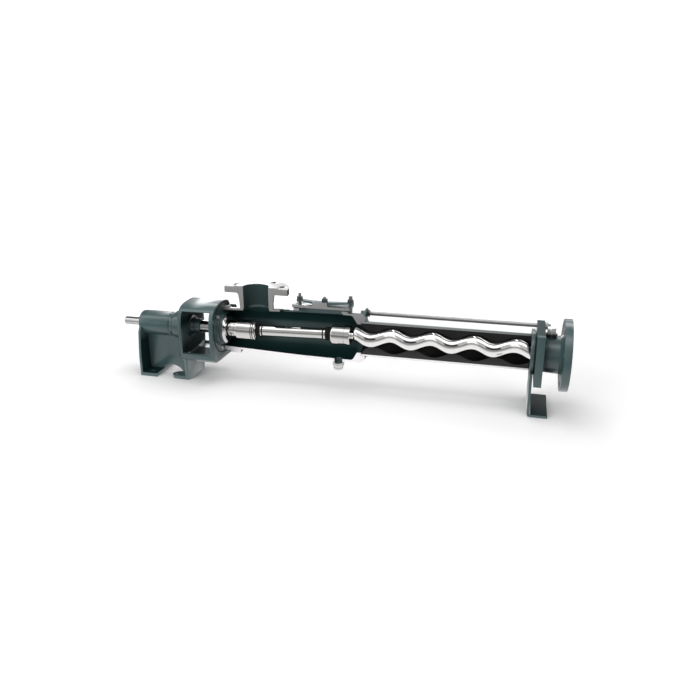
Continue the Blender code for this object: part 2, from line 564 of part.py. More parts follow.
def make_suction_housing(material):
    """The half of the suction housing behind the cut, with its flanged neck and the cleanout opening."""
    wall = HOUSING_WALL
    outside = [(station, radius + wall) for station, radius in HOUSING_INSIDE[1:-1]]
    housing = add_object("suction_housing", revolve([
        (HOUSING_START, 0.0), (HOUSING_START, SPIGOT_RADIUS), (SPIGOT_END, SPIGOT_RADIUS),
        (SPIGOT_END + 0.004, housing_inner(SPIGOT_END) + wall), *outside, (BOSS_START, BOSS_RADIUS),
        (HOUSING_END - 0.012, BOSS_RADIUS), (HOUSING_END, BOSS_RADIUS - 0.010), (HOUSING_END, 0.0),
    ], start=HALF_STEP), material)
    neck_low = -0.010
    flange_low = SUCTION_FACE - RAISED_HEIGHT - FLANGE_THICK
    neck = add_object("suction_neck", upright([
        (0, 0.0), (NECK_RADIUS, 0.0), (NECK_RADIUS, flange_low - 0.030),
        (NECK_RADIUS + 0.0035, flange_low - 0.004),
        (NECK_RADIUS + 0.0085, flange_low), (FLANGE_RADIUS, flange_low),
        (FLANGE_RADIUS, SUCTION_FACE - RAISED_HEIGHT), (RAISED_RADIUS, SUCTION_FACE - RAISED_HEIGHT),
        (RAISED_RADIUS, SUCTION_FACE), (0, SUCTION_FACE),
    ], SUCTION_STATION, turn=HALF_STEP))
    pad = add_object("cover_pad", box(
        COVER_START + 0.004, COVER_END - 0.006, -COVER_HALF, COVER_HALF, 0.030, PAD_TOP))
    drain_boss = add_object("drain_boss", post(DRAIN_STATION, 0.0, DRAIN_BOSS_END, -0.066, DRAIN_BOSS_RADIUS))
    rear_rib = add_object("drive_end_rib", revolve([
        (0.3580, 0.060), (0.3580, 0.0765), (0.3880, 0.0780), (0.3920, 0.0760), (0.3920, 0.060)],
        sides=16, start=-100.0, sweep=100.0))
    lugs = []
    for i, (y, h) in enumerate(((TIE_OFFSET, TIE_OFFSET), (TIE_OFFSET, -TIE_OFFSET))):
        lugs.append(add_object(f"tie_lug_{i}", loft([
            ring_points(LUG_START, 0.007, y - 0.008, h - math.copysign(0.008, h), 24),
            ring_points(LUG_END - 0.003, LUG_RADIUS, y, h, 24),
            ring_points(LUG_END, LUG_RADIUS, y, h, 24),
        ])))
        inward = add_object(f"tie_lug_root_{i}", across([
            (y * 0.55 - 0.010, h * 0.55 + math.copysign(0.010, h)), (y - 0.010, h + math.copysign(0.010, h)),
            (y + 0.010, h - math.copysign(0.010, h)), (y * 0.55 + 0.010, h * 0.55 - math.copysign(0.010, h)),
        ], LUG_START + 0.002, LUG_END - 0.002))
        lugs.append(inward)
    ear = add_object("drive_end_ear", cylinder(
        HOUSING_START + 0.0005, EAR_END, EAR_RADIUS, EAR_Y, EAR_HEIGHT, 24))
    ear_root = add_object("drive_end_ear_root", box(
        HOUSING_START + 0.001, EAR_END - 0.001, 0.030, EAR_Y + 0.006, 0.030, EAR_HEIGHT + 0.004))
    lugs += [ear, ear_root]
    combine(housing, "UNION", neck, pad, drain_boss, rear_rib, *lugs)
    inner = add_object("housing_inside", revolve([
        (HOUSING_START - 0.01, 0.0), (HOUSING_START - 0.01, HOUSING_INSIDE[0][1]), *HOUSING_INSIDE[:-1],
        (CAVITY_END - 0.006, housing_inner(CAVITY_END)), (CAVITY_END, housing_inner(CAVITY_END) - 0.003),
        (BOSS_CONE_END, THROAT_RADIUS), (STATOR_START - GAP, THROAT_RADIUS),
        (STATOR_START - GAP, TUBE_OUTER + GAP),
        (HOUSING_END + 0.01, TUBE_OUTER + GAP), (HOUSING_END + 0.01, 0.0),
    ], start=HALF_STEP))
    bore = add_object("suction_bore", upright([
        (0, neck_low), (BORE_RADIUS + 0.003, neck_low), (BORE_RADIUS + 0.003, 0.062),
        (BORE_RADIUS, 0.070), (BORE_RADIUS, SUCTION_FACE + 0.01), (0, SUCTION_FACE + 0.01),
    ], SUCTION_STATION, turn=HALF_STEP))
    opening = add_object("cleanout_opening", box(
        OPENING_START, OPENING_END, -OPENING_HALF, OPENING_HALF, 0.040, PAD_TOP + 0.01))
    pad_recess = add_object("pad_recess", box(
        OPENING_START - 0.060, OPENING_END + 0.004, -OPENING_HALF, OPENING_HALF, 0.030, PAD_TOP - 0.0070))
    drain = add_object("drain_hole", post(DRAIN_STATION, 0.0, -0.10, -0.04, DRAIN_RADIUS))
    combine(housing, "DIFFERENCE", front_half("cut_from_housing"), inner, bore, opening, pad_recess, drain)
    for i in range(4):
        angle = math.radians(22.5 + 45.0 * i)
        hole = add_object(f"suction_bolt_hole_{i}", post(
            SUCTION_STATION + FLANGE_PCR * math.cos(angle), FLANGE_PCR * math.sin(angle),
            flange_low - 0.01, SUCTION_FACE + 0.01, FLANGE_HOLE_RADIUS, 16, 11.25))
        combine(housing, "DIFFERENCE", hole)
    for i, h in enumerate((TIE_OFFSET, -TIE_OFFSET)):
        hole = add_object(f"tie_rod_socket_{i}", cylinder(
            TIE_START - GAP, LUG_END + 0.01, TIE_RADIUS + GAP, TIE_OFFSET, h, 16))
        combine(housing, "DIFFERENCE", hole)


def make_cover(cast, rubber, steel):
    """Cleanout cover on its gasket, held by a bar, two studs and a middle screw."""
    cover_low = PAD_TOP + 2 * GAP + GASKET_THICK
    cover_top = cover_low + COVER_THICK
    gasket_low = PAD_TOP + GAP
    gasket = add_object("cover_gasket", box(
        COVER_START + 0.004, COVER_END - 0.006, 0.0, COVER_HALF,
        gasket_low, gasket_low + GASKET_THICK), rubber)
    gasket_hole = add_object("gasket_hole", box(
        OPENING_START, OPENING_END, -0.01, OPENING_HALF, PAD_TOP - 0.01, PAD_TOP + 0.01))
    combine(gasket, "DIFFERENCE", gasket_hole)
    cover = add_object("cleanout_cover", box(
        COVER_START, COVER_END, 0.0, COVER_HALF, cover_low, cover_top), cast)
    block = add_object("cover_block", box(
        BLOCK_START, BLOCK_END, 0.0, BLOCK_HALF, cover_low + 0.002, BLOCK_TOP))
    bar_rest = cover_top + 0.0030
    bar_slot = add_object("bar_slot", box(
        BLOCK_START - 0.01, BLOCK_END + 0.01, CLAMP_Y - BAR_HALF - GAP, FAR, bar_rest, FAR))
    combine(cover, "UNION", block)
    combine(cover, "DIFFERENCE", bar_slot)
    shanks = (STUD_RADIUS, RIGHT_STUD_RADIUS)
    for i, (station, shank) in enumerate(zip(STUD_STATIONS, shanks)):
        hole = add_object(f"cover_stud_hole_{i}", post(
            station, CLAMP_Y, cover_low - 0.01, cover_top + 0.01, shank + 0.001, 16))
        combine(cover, "DIFFERENCE", hole)
    first, last = STUD_STATIONS
    middle = (BLOCK_START + BLOCK_END) / 2
    low = BAR_TOP - BAR_END_THICK
    bar = add_object("clamp_bar", sideways([
        (first - BAR_OVERHANG, low), (first - BAR_OVERHANG, BAR_TOP), (first + 0.008, BAR_TOP),
        (middle - 0.024, BAR_MIDDLE_TOP), (middle + 0.024, BAR_MIDDLE_TOP), (last - 0.010, BAR_TOP),
        (last + BAR_OVERHANG, BAR_TOP), (last + BAR_OVERHANG, low), (last - 0.012, low),
        (middle + 0.020, bar_rest + GAP), (middle - 0.020, bar_rest + GAP), (first + 0.012, low),
    ], CLAMP_Y - BAR_HALF, CLAMP_Y + BAR_HALF), cast)
    for i, (station, shank) in enumerate(zip(STUD_STATIONS, shanks)):
        hole = add_object(f"bar_hole_{i}", post(
            station, CLAMP_Y, low - 0.02, BAR_TOP + 0.01, shank + GAP, 16))
        combine(bar, "DIFFERENCE", hole)
    nut_top = BAR_TOP + STUD_NUT_HEIGHT
    for name, station, foot, shank in (
        ("clamp_stud_left", first, cover_low + 0.001, STUD_RADIUS),
        ("clamp_stud_right", last, STUD_FOOT, RIGHT_STUD_RADIUS),
    ):
        add_object(name, upright([
            (0, foot), (shank, foot), (shank, BAR_TOP + GAP), (STUD_NUT_RADIUS, BAR_TOP + GAP),
            (STUD_NUT_RADIUS, nut_top), (STUD_RADIUS, nut_top + 0.001), (STUD_RADIUS, nut_top + 0.009),
            (0, nut_top + 0.009),
        ], station, CLAMP_Y, 12), steel)
    screw_low = BAR_MIDDLE_TOP + GAP
    add_object("clamp_screw", upright([
        (0, screw_low), (STUD_NUT_RADIUS, screw_low), (STUD_NUT_RADIUS, screw_low + 0.007),
        (STUD_RADIUS, screw_low + 0.008), (STUD_RADIUS, screw_low + 0.015), (0, screw_low + 0.015),
    ], SCREW_STATION, CLAMP_Y, 12), steel)


def make_drain(steel):
    """The plug under the housing, with its sealing ring."""
    low = DRAIN_BOSS_END - GAP
    add_object("drain_plug_seal", upright([
        (0.0100, low - 0.0110), (0.0160, low - 0.0110), (0.0170, low - 0.0090), (0.0170, low), (0.0100, low),
    ], DRAIN_STATION, 0.0, 24), steel)
    add_object("drain_plug", upright([
        (0, low - 0.0230), (0.0120, low - 0.0230), (0.0145, low - 0.0180), (0.0145, low - 0.0113),
        (0.0097, low - 0.0113), (0.0097, low), (0, low),
    ], DRAIN_STATION, 0.0, 24), steel)


def make_discharge(cast, steel, dark):
    """Stator end ring, tie plate, discharge body with its flange, gauge plug, tie rods and foot bracket."""
    end_ring = add_object("stator_end_ring", revolve([
        (RING_PLATE_START, RING_PLATE_BORE), (RING_PLATE_START, RING_PLATE_RADIUS),
        (RING_PLATE_END, RING_PLATE_RADIUS), (RING_PLATE_END, RING_HUB_RADIUS),
        (TIE_PLATE_START - GAP, RING_HUB_RADIUS), (TIE_PLATE_START - GAP, RING_PLATE_BORE),
    ]), cast)
    half, corner = TIE_PLATE_HALF, 0.004
    square = []
    for sy, sz in ((1, 1), (-1, 1), (-1, -1), (1, -1)):
        pair = [(sy * half, sz * (half - corner)), (sy * (half - corner), sz * half)]
        square += pair if sy * sz > 0 else pair[::-1]
    plate = add_object("tie_plate", across(square, TIE_PLATE_START, TIE_PLATE_END), cast)
    plate_bore = add_object("tie_plate_bore", cylinder(
        TIE_PLATE_START - 0.01, TIE_PLATE_END + 0.01, BORE_RADIUS + 0.002))
    combine(plate, "DIFFERENCE", plate_bore)
    body = add_object("discharge_body", revolve([
        (DISCHARGE_START, BORE_RADIUS), (DISCHARGE_START, DISCHARGE_RADIUS),
        (DISCHARGE_FLANGE_START - 0.008, DISCHARGE_FLARE - 0.002),
        (DISCHARGE_FLANGE_START, DISCHARGE_FLARE + 0.004), (DISCHARGE_FLANGE_START, FLANGE_RADIUS),
        (DISCHARGE_FLANGE_END, FLANGE_RADIUS), (DISCHARGE_FLANGE_END, RAISED_RADIUS),
        (DISCHARGE_FACE, RAISED_RADIUS), (DISCHARGE_FACE, BORE_RADIUS),
    ]), cast)
    boss = add_object("gauge_boss", post(GAUGE_STATION, 0.0, 0.044, GAUGE_BOSS_TOP, GAUGE_BOSS_RADIUS))
    combine(body, "UNION", boss)
    for i in range(FLANGE_HOLES):
        angle = math.radians(22.5 + 45.0 * i)
        hole = add_object(f"discharge_bolt_hole_{i}", cylinder(
            DISCHARGE_FLANGE_START - 0.01, DISCHARGE_FACE + 0.01, FLANGE_HOLE_RADIUS,
            FLANGE_PCR * math.cos(angle), FLANGE_PCR * math.sin(angle), 16, 11.25))
        combine(body, "DIFFERENCE", hole)
    add_object("gauge_plug", upright([
        (0, GAUGE_BOSS_TOP + 0.0025), (GAUGE_HEX_RADIUS, GAUGE_BOSS_TOP + 0.0025),
        (GAUGE_HEX_RADIUS, GAUGE_HEX_TOP - 0.002), (GAUGE_HEX_RADIUS - 0.002, GAUGE_HEX_TOP),
        (0, GAUGE_HEX_TOP),
    ], GAUGE_STATION, 0.0, 6, 30.0), steel)
    add_object("gauge_plug_washer", upright([
        (0, GAUGE_BOSS_TOP + GAP), (0.0165, GAUGE_BOSS_TOP + GAP), (0.0165, GAUGE_BOSS_TOP + 0.0022),
        (0, GAUGE_BOSS_TOP + 0.0022),
    ], GAUGE_STATION, 0.0, 24), dark)
    bracket = add_object("foot_bracket", sideways([
        (BRACKET_START, BRACKET_BEND - AXIS_Z), (BRACKET_START, BRACKET_TOP - AXIS_Z),
        (BRACKET_START + BRACKET_THICK, BRACKET_TOP - AXIS_Z),
        (BRACKET_START + BRACKET_THICK, BRACKET_THICK + 0.003 - AXIS_Z),
        (BRACKET_START + BRACKET_THICK + 0.003, BRACKET_THICK - AXIS_Z),
        (BRACKET_END, BRACKET_THICK - AXIS_Z), (BRACKET_END, -AXIS_Z),
        (BRACKET_START + BRACKET_BEND, -AXIS_Z),
        (BRACKET_START + BRACKET_BEND * 0.3, BRACKET_BEND * 0.3 - AXIS_Z),
    ], -BRACKET_HALF, BRACKET_HALF), cast)
    bracket_cut = add_object("bracket_cut", cylinder(
        BRACKET_START - 0.01, BRACKET_START + BRACKET_THICK + 0.01, BRACKET_CUT_RADIUS))
    combine(bracket, "DIFFERENCE", bracket_cut)
    fit = TIE_RADIUS + GAP
    rod_end = BRACKET_START - GAP
    for name, h in (("tie_rod_upper", TIE_OFFSET), ("tie_rod_lower", -TIE_OFFSET)):
        rod = add_object(name, cylinder(TIE_START, TIE_END, TIE_RADIUS, TIE_OFFSET, h, 16), steel)
        nut_start = TIE_PLATE_END + GAP
        nut = add_object(name + "_nut_shape", cylinder(
            nut_start, nut_start + TIE_NUT_THICK, TIE_NUT_RADIUS, TIE_OFFSET, h, 6))
        combine(rod, "UNION", nut)
        for target in (plate, bracket):
            hole = add_object(f"{name}_hole_in_{target.name}", cylinder(
                rod_end - 0.02, TIE_PLATE_END + 0.01, fit, TIE_OFFSET, h, 16))
            combine(target, "DIFFERENCE", hole)
    return end_ring


def main():
    clear_scene()
    green = paint("green_paint", (0.045, 0.075, 0.078), 0.35, 0.0)
    stainless = paint("polished_stainless", (0.75, 0.74, 0.72), 0.18, 1.0)
    steel = paint("zinc_steel", (0.55, 0.56, 0.57), 0.35, 1.0)
    rubber = paint("black_rubber", (0.012, 0.012, 0.012), 0.55, 0.0)
    make_bearing_lantern(green)
    make_drive(stainless, steel, rubber, green)
    make_rod(stainless, rubber)
    make_rotor(stainless)
    make_stator(rubber, green)
    make_suction_housing(green)
    make_cover(green, rubber, steel)
    make_drain(steel)
    make_discharge(green, steel, rubber)


main()
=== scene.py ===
"""Cut-open progressive cavity pump on a white studio floor."""

import json
import math

import bmesh
import bpy
from mathutils import Matrix, Vector

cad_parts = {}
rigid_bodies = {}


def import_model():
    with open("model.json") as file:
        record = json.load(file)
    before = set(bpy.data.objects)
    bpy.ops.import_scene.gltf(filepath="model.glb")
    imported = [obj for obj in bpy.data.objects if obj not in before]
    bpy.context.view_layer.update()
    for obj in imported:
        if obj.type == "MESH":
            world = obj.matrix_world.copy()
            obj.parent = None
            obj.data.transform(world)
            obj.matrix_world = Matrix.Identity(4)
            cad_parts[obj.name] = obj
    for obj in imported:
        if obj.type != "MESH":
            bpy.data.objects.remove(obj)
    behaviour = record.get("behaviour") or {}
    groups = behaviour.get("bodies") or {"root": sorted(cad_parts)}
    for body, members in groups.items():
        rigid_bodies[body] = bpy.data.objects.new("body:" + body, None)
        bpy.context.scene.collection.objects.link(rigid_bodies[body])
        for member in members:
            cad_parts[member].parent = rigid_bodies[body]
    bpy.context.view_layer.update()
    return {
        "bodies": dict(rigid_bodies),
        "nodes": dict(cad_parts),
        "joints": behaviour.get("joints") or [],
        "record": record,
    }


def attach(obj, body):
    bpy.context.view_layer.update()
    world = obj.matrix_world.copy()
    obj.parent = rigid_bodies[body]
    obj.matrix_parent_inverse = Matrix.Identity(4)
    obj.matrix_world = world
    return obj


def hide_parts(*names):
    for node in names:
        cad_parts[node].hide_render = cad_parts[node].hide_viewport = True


# Camera
CAMERA_PLACE = (0.51249, -1.82514, 0.80543)
CAMERA_YAW, CAMERA_PITCH, CAMERA_ROLL = -14.0455, 19.0694, -0.0209
CAMERA_REACH = 50.0
FOCAL_PIXELS, IMAGE_SIDE, SENSOR = 677.237, 700, 36.0
CENTRE_X, CENTRE_Y = 349.571, 339.632

# Studio light as (height angle, brightness): 0 is level in front of the pump, 90 overhead, 180 level behind
WORLD_TOP, WORLD_SEEN = 8.0, 1.3
WORLD_OVERHEAD = ((66, 2.70), (74, 2.60), (80, 1.20), (88, 0.42), (98, 0.16))
WORLD_FRONT = (
    (0, 0.30), (5, 0.28), (13, 0.72), (24, 0.46), (36, 0.52), (50, 0.85), (58, 1.70), *WORLD_OVERHEAD,
)
WORLD_FRONT_LEFT = ((0, 0.80), (5, 1.10), (58, 1.30), *WORLD_OVERHEAD)
WORLD_FRONT_RIGHT = (
    (0, 0.50), (6, 0.30), (12, 0.04), (37, 0.03), (44, 0.80), (58, 1.70), *WORLD_OVERHEAD,
)
WORLD_RIGHT = (
    (120, 0.20), (126, 3.90), (138, 3.90), (146, 0.10), (155, 0.40), (158, 1.50), (168, 1.50),
    (171, 0.40), (180, 0.03),
)
WORLD_LEFT = (
    (99, 4.00), (104, 5.00), (112, 5.20), (124, 5.50), (140, 7.00), (176, 8.00), (180, 7.00),
)
WORLD_FAR_LEFT = ((118, 0.15), (180, 0.10))
WORLD_FAR_RIGHT = ((120, 1.80), (180, 1.60))

# Where one side's light turns into the next, by a ray's sideways component
FRONT_LEFT_TURN = (-0.66, -0.56)
LEFT_TURN = (-0.438, -0.418)
RIGHT_TURN = (-0.362, -0.335)
FAR_RIGHT_TURN = (0.30, 0.42)

# Area lights: place, target, size and power
AREA_LIGHTS = {
    "key_light": ((-1.5, -2.7, 0.80), (0.0, 0.0, 0.15), (1.8, 0.9), 150.0),
    "fill_light": ((2.4, -2.2, 0.70), (0.0, 0.0, 0.15), (1.6, 0.9), 45.0),
    "top_light": ((0.0, 0.30, 2.20), (0.0, 0.0, 0.0), (1.4, 1.30), 46.0),
}

# Floor: its white, its glow outwards, and what mirrors of it in the steel by share of the depth
FLOOR_HALF, FLOOR_DROP = 12, 0.0002
FLOOR_WHITE, FLOOR_NARROWING = 0.439, 0.75
FLOOR_GLOW_START, FLOOR_GLOW_END, FLOOR_GLOW_LOW, FLOOR_GLOW_HIGH = 0.60, 1.4, 0.02, 0.60
FLOOR_DEPTH = (-1.05, 0.35)
FLOOR_IN_FRONT = (
    (0.00, 0.22), (0.115, 0.28), (0.46, 0.60), (0.59, 0.98), (0.76, 1.02), (0.86, 0.50), (1.00, 0.40),
)

# Paint, bare castings and rubber
# The second green is a darker copy of the paint: painted shade for hollows, holes and some upper faces
GREEN, GREEN_PAINTED_SHADE = (0.0145, 0.0295, 0.0305), (0.0030, 0.0095, 0.0095)
# A lighter green for painted light: a band at the middle heights and in the throat, by these height stops
GREEN_PAINTED_LIGHT = (0.040, 0.054, 0.054)
PAINTED_LIGHT_STOPS = (
    (0.112, 0.0), (0.136, 0.8), (0.162, 1.0), (0.184, 0.0), (0.212, 0.0), (0.232, 0.25), (0.300, 0.25),
)
# Roughness and specular level of the painted shade's enamel
SHADE_ENAMEL_ROUGHNESS, SHADE_ENAMEL_SPECULAR = 0.46, 0.08
SPECK_START, SPECK_END, SPECK_SHARE = 0.62, 0.75, 0.30
WEAR_START, WEAR_END, WEAR_SHARE = 0.53, 0.60, 0.55
CUT_GREY = ((0.094, 0.093, 0.092, 1), (0.116, 0.115, 0.114, 1))
# Paler cut faces below the axis: a painted glow of light from below, full at the first height and gone by the
# second
CUT_PAINTED_GLOW = ((0.400, 0.380, 0.392, 1), (0.450, 0.430, 0.440, 1))
PAINTED_GLOW_FULL, PAINTED_GLOW_NONE = 0.118, 0.135
GRINDING_MARKS = (6.0, 1.0, 900.0)
TURNED_GREY = ((0.29, 0.29, 0.285, 1), (0.36, 0.36, 0.355, 1))
RUBBER_BLACK = ((0.0050, 0.0050, 0.0050, 1), (0.0080, 0.0078, 0.0078, 1))
# Rubber greyer below the axis as a painted glow, and a share that darkens the bore as painted shade
RUBBER_PAINTED_GLOW, RUBBER_PAINTED_GLOW_SHARE, BORE_SHADE_SHARE = 0.021, 0.7, 0.35
NOISE_LOW, NOISE_HIGH = 0.3, 0.7

# Metals: material, colour, roughness, scale of the marks, strength of the marks and metallic share
METALS = {
    "zinc": ("zinc_plate", (0.64, 0.64, 0.63), 0.24, (40.0, 40.0, 400.0), 0.08, 1.0),
    "rod": ("tie_rod_steel", (0.43, 0.43, 0.42), 0.46, (400.0, 30.0, 30.0), 0.08, 1.0),
    "plug": ("plug_plate", (0.62, 0.62, 0.61), 0.42, (40.0, 40.0, 400.0), 0.08, 0.55),
    "bolt": ("bolt_steel", (0.15, 0.165, 0.160), 0.34, (40.0, 40.0, 400.0), 0.08, 1.0),
    "polished": ("stainless_polished", (0.66, 0.65, 0.64), 0.09, (500.0, 8.0, 8.0), 0.03, 1.0),
    "helix": ("rotor_polished", (0.86, 0.85, 0.84), 0.11, (60.0, 60.0, 60.0), 0.02, 1.0),
    "ground": ("steel_ground", (0.52, 0.52, 0.51), 0.22, (500.0, 10.0, 10.0), 0.08, 1.0),
}

# Meshes: joining distance, and angles in degrees for flat areas, sharp edges and smooth bevels
WELD_DISTANCE, FLAT_ANGLE, SHARP_ANGLE, SMOOTH_ANGLE = 1e-6, 0.4, 32.0, 38.0
BEVEL_SEGMENTS, COPY_BEVEL = 2, 0.0004

# The pump's axis and cut; a station is a distance along the axis, a height is above the axis
MIDDLE, AXIS_Z = 0.6815, 0.1605
CUT_LIMIT, INWARD_LIMIT = 0.0004, 0.0001

# Rotor and rod; the rotor's head is given by distance from its start, lost radius and share of the reach
ECCENTRICITY = 0.0081
PITCH, CREST_STATION = 0.1164, 0.8676
ROTOR_RADIUS, ROTOR_START, ROTOR_END = 0.0225, 0.7525, 1.2570
ROTOR_NECK_START, ROTOR_NECK_LEAD, ROTOR_NECK_RADIUS = 0.7428, 0.003, 0.0110
ROTOR_HEAD = ((-0.001, 0.005, 0.6), (0.002, 0.0015, 1.0))
ROTOR_HELIX_LEAD = 0.005
ROTOR_SIDES, RINGS_PER_PITCH = 48, 56
DRIVE_JOINT, JOINT_DISTANCE = 0.4250, 0.2800
DRIVE_SLEEVE_RADIUS, DRIVE_HUB_RADIUS = 0.0293, 0.0240
ROTOR_SLEEVE_START, ROTOR_SLEEVE_END = 0.6829, 0.7425
ROTOR_SLEEVE_RADIUS, ROTOR_SLEEVE_CORNER, CORNER_STEPS = 0.0300, 0.0080, 8
ROD_RADIUS, ROD_END_RADIUS, ROD_GROOVE_RADIUS, ROD_GROOVE_SHADE_RADIUS = 0.0160, 0.0178, 0.0130, 0.0164
# Grooves on the sleeve and rod as station and width; black rings in them are painted shade
DRIVE_SHADED_GROOVES = ((0.4362, 0.0026), (0.4418, 0.0030))
ROD_SHADED_GROOVES = ((0.4682, 0.0030), (0.6580, 0.0026), (0.6640, 0.0030))
GROOVE_FLOOR = 0.8
DRIVE_BOOT, ROTOR_BOOT, BOOT_FOLDS = (0.4498, 0.4618), (0.6676, 0.6826), 3
BOOT_START, BOOT_CREST, BOOT_ROOT, BOOT_END = 0.0188, 0.0200, 0.0172, 0.0182

# Threads, and the studs: station, foot, top of the bar, rise over the bar, radius and node
THREAD_PITCH, THREAD_DEPTH = 0.0015, 0.0005
CLAMP_Y = 0.0100
CLAMP_STUDS = {
    "left": (0.5840, 0.0840, 0.1048, 0.0190, 0.0045, "clamp_stud_left"),
    "right": (0.7380, 0.0750, 0.1048, 0.0190, 0.0058, "clamp_stud_right"),
    "middle": (0.6600, 0.1023, 0.1023, 0.0145, 0.0045, "clamp_screw"),
}

# Plugs, bolts and tie rods
GAUGE_STATION, GAUGE_SEAT, GAUGE_COLLAR_TOP, GAUGE_TOP = 1.3030, 0.0585, 0.0600, 0.0770
DRAIN_STATION, DRAIN_SEAT = 0.7030, -0.0783
SEAL_STATION, SEAL_BOLT_CIRCLE, SEAL_BOLT_ANGLES = 0.3400, 0.0612, (130.3, 241.8, 50.0, 310.0)
COVER_STATION, COVER_BOLT_CIRCLE, COVER_BOLTS = 0.0684, 0.0268, 4
TIE_SIDE, TIE_HEIGHTS = 0.0610, {"upper": 0.0610, "lower": -0.0610}
TIE_PLATE_STATION, TIE_END, TIE_RADIUS, LUG_STATION = 1.2863, 1.3023, 0.0062, 0.7775
# A black strip along the lantern's rim, painted shade of the gap there: angles, steps, taper, and its start,
# end, inner and outer radius
EDGE_SHADE_ANGLES, EDGE_SHADE_STEPS, EDGE_SHADE_TAPER = (52.0, 148.0), 40, 0.85
EDGE_SHADE = (0.3401, 0.3408, 0.0768, 0.0838)

# Rings as start, end, inner and outer radius; hexagons as start, end and radius
CLAMP_WASHER, CLAMP_NUT = (0.0, 0.0014, 0.0046, 0.0096), (0.0015, 0.0095, 0.0088)
SEAL_WASHER, SEAL_BOLT = (0.0001, 0.0013, 0.0, 0.0062), (0.0013, 0.0060, 0.0054)
TIE_WASHER, LOCK_NUT = (-0.0002, 0.0012, 0.0062, 0.0118), (0.0002, 0.0072, 0.0105)
COVER_BOLT, GAUGE_HEXAGON = (0.0, 0.0035, 0.0040), (GAUGE_COLLAR_TOP, GAUGE_TOP, 0.0128)
JOINT_CORD = (0.3396, 0.3408, 0.0732, 0.0752)
CLAMP_NUT_TURN, GAUGE_TURN, SEAL_BOLT_TURN = math.radians(12), math.radians(24), 0.3
HEXAGON_CORNER, GAUGE_CORNER, CORNER_RISE = 0.0009, 0.0014, 0.6

# Limits that tell the faces of the castings apart, first by their normal
IN_CUT, LEVEL, FACING, LEANING, HOLE_WALL = 0.999, 0.99, 0.9, 0.8, 0.97
SUCTION_FACE, DISCHARGE_FACE, FACE_LIMIT = 0.1315, 1.3550, 0.0005
FOOT_PLATE_LIMIT, TIE_PLATE_LIMIT = 0.02, 0.06
SUCTION_STATION, NECK_RADIUS, NECK_START, FLANGE_START, RIM_RADIUS = 0.4487, 0.0410, 0.045, 0.1, 0.0980
FLANGE_HOLES, FLANGE_HOLE_CIRCLE, FLANGE_HOLE_LIMIT = 8, 0.0800, 0.0099
HOUSING_START, HOUSING_END, HOUSING_LIMIT = 0.3403, 0.7600, 0.0700
EAR_Y, EAR_HEIGHT, EAR_RADIUS, EAR_END = 0.0580, 0.0500, 0.0130, 0.3570
ROOM_START, ROOM_END, ROOM_RADIUS = 0.2325, 0.3285, 0.0840
POCKET_START, POCKET_END, POCKET_TOP = 0.0790, 0.0810, -0.02
FOOT_TOP, FOOT_END = 0.0125, 0.1285

# Directions, and the material slots of a painted casting
RIGHT, UP, LEFT = (1, 0, 0), (0, 0, 1), (-1, 0, 0)
# Slot 2 holds the darker enamel of painted shade
CUT_SLOT, PAINTED_SHADE_SLOT, TURNED_SLOT = 1, 2, 3
BORE_SHADE_SLOT = 1

CAST_PIECES = {
    "bearing_lantern": ("bearing_lantern_casting", 0.0016),
    "suction_housing": ("suction_housing_casting", 0.0006),
    "discharge_body": ("discharge_casting", 0.0014),
    "cleanout_cover": ("cleanout_cover_casting", 0.0006),
    "clamp_bar": ("clamp_bar_forging", 0.0006),
    "tie_plate": ("tie_plate_painted", 0.0012),
    "stator_end_ring": ("stator_end_ring_painted", 0.0008),
    "foot_bracket": ("foot_bracket_painted", 0.0008),
    "stator_tube": ("stator_tube_painted", 0.0005),
    "drive_end_cover": ("drive_end_cover_painted", 0.0008),
    "inner_bearing_cover": ("inner_bearing_cover_painted", 0.0008),
    "seal_housing": ("seal_housing_casting", 0.0008),
}
COPIED_PIECES = {
    "seal_face_ring": "polished", "drive_shaft": "ground", "cover_gasket": "rubber",
    "gauge_plug_washer": "rubber", "shaft_seal": "rubber", "stator_rubber": "rubber",
    "tie_rod_lower": "rod", "tie_rod_upper": "rod",
}


def along(station):
    """The x of a station."""
    return station - MIDDLE


def make_camera():
    yaw, pitch, roll = (math.radians(a) for a in (CAMERA_YAW, CAMERA_PITCH, CAMERA_ROLL))
    level = math.cos(pitch)
    forward = Vector((math.sin(yaw) * level, math.cos(yaw) * level, -math.sin(pitch)))
    right = Vector((math.cos(yaw), -math.sin(yaw), 0.0))
    up = right.cross(forward)
    turned_right = math.cos(roll) * right + math.sin(roll) * up
    turned_up = -math.sin(roll) * right + math.cos(roll) * up
    data = bpy.data.cameras.new("camera")
    camera = bpy.data.objects.new("camera", data)
    bpy.context.scene.collection.objects.link(camera)
    rows = [(turned_right[i], turned_up[i], -forward[i], CAMERA_PLACE[i]) for i in range(3)]
    camera.matrix_world = Matrix((*rows, (0, 0, 0, 1)))
    data.sensor_width = SENSOR
    data.lens = FOCAL_PIXELS / IMAGE_SIDE * SENSOR
    data.shift_x = (IMAGE_SIDE / 2 - CENTRE_X) / IMAGE_SIDE
    data.shift_y = (CENTRE_Y - IMAGE_SIDE / 2) / IMAGE_SIDE
    data.clip_end = CAMERA_REACH
    bpy.context.scene.camera = camera


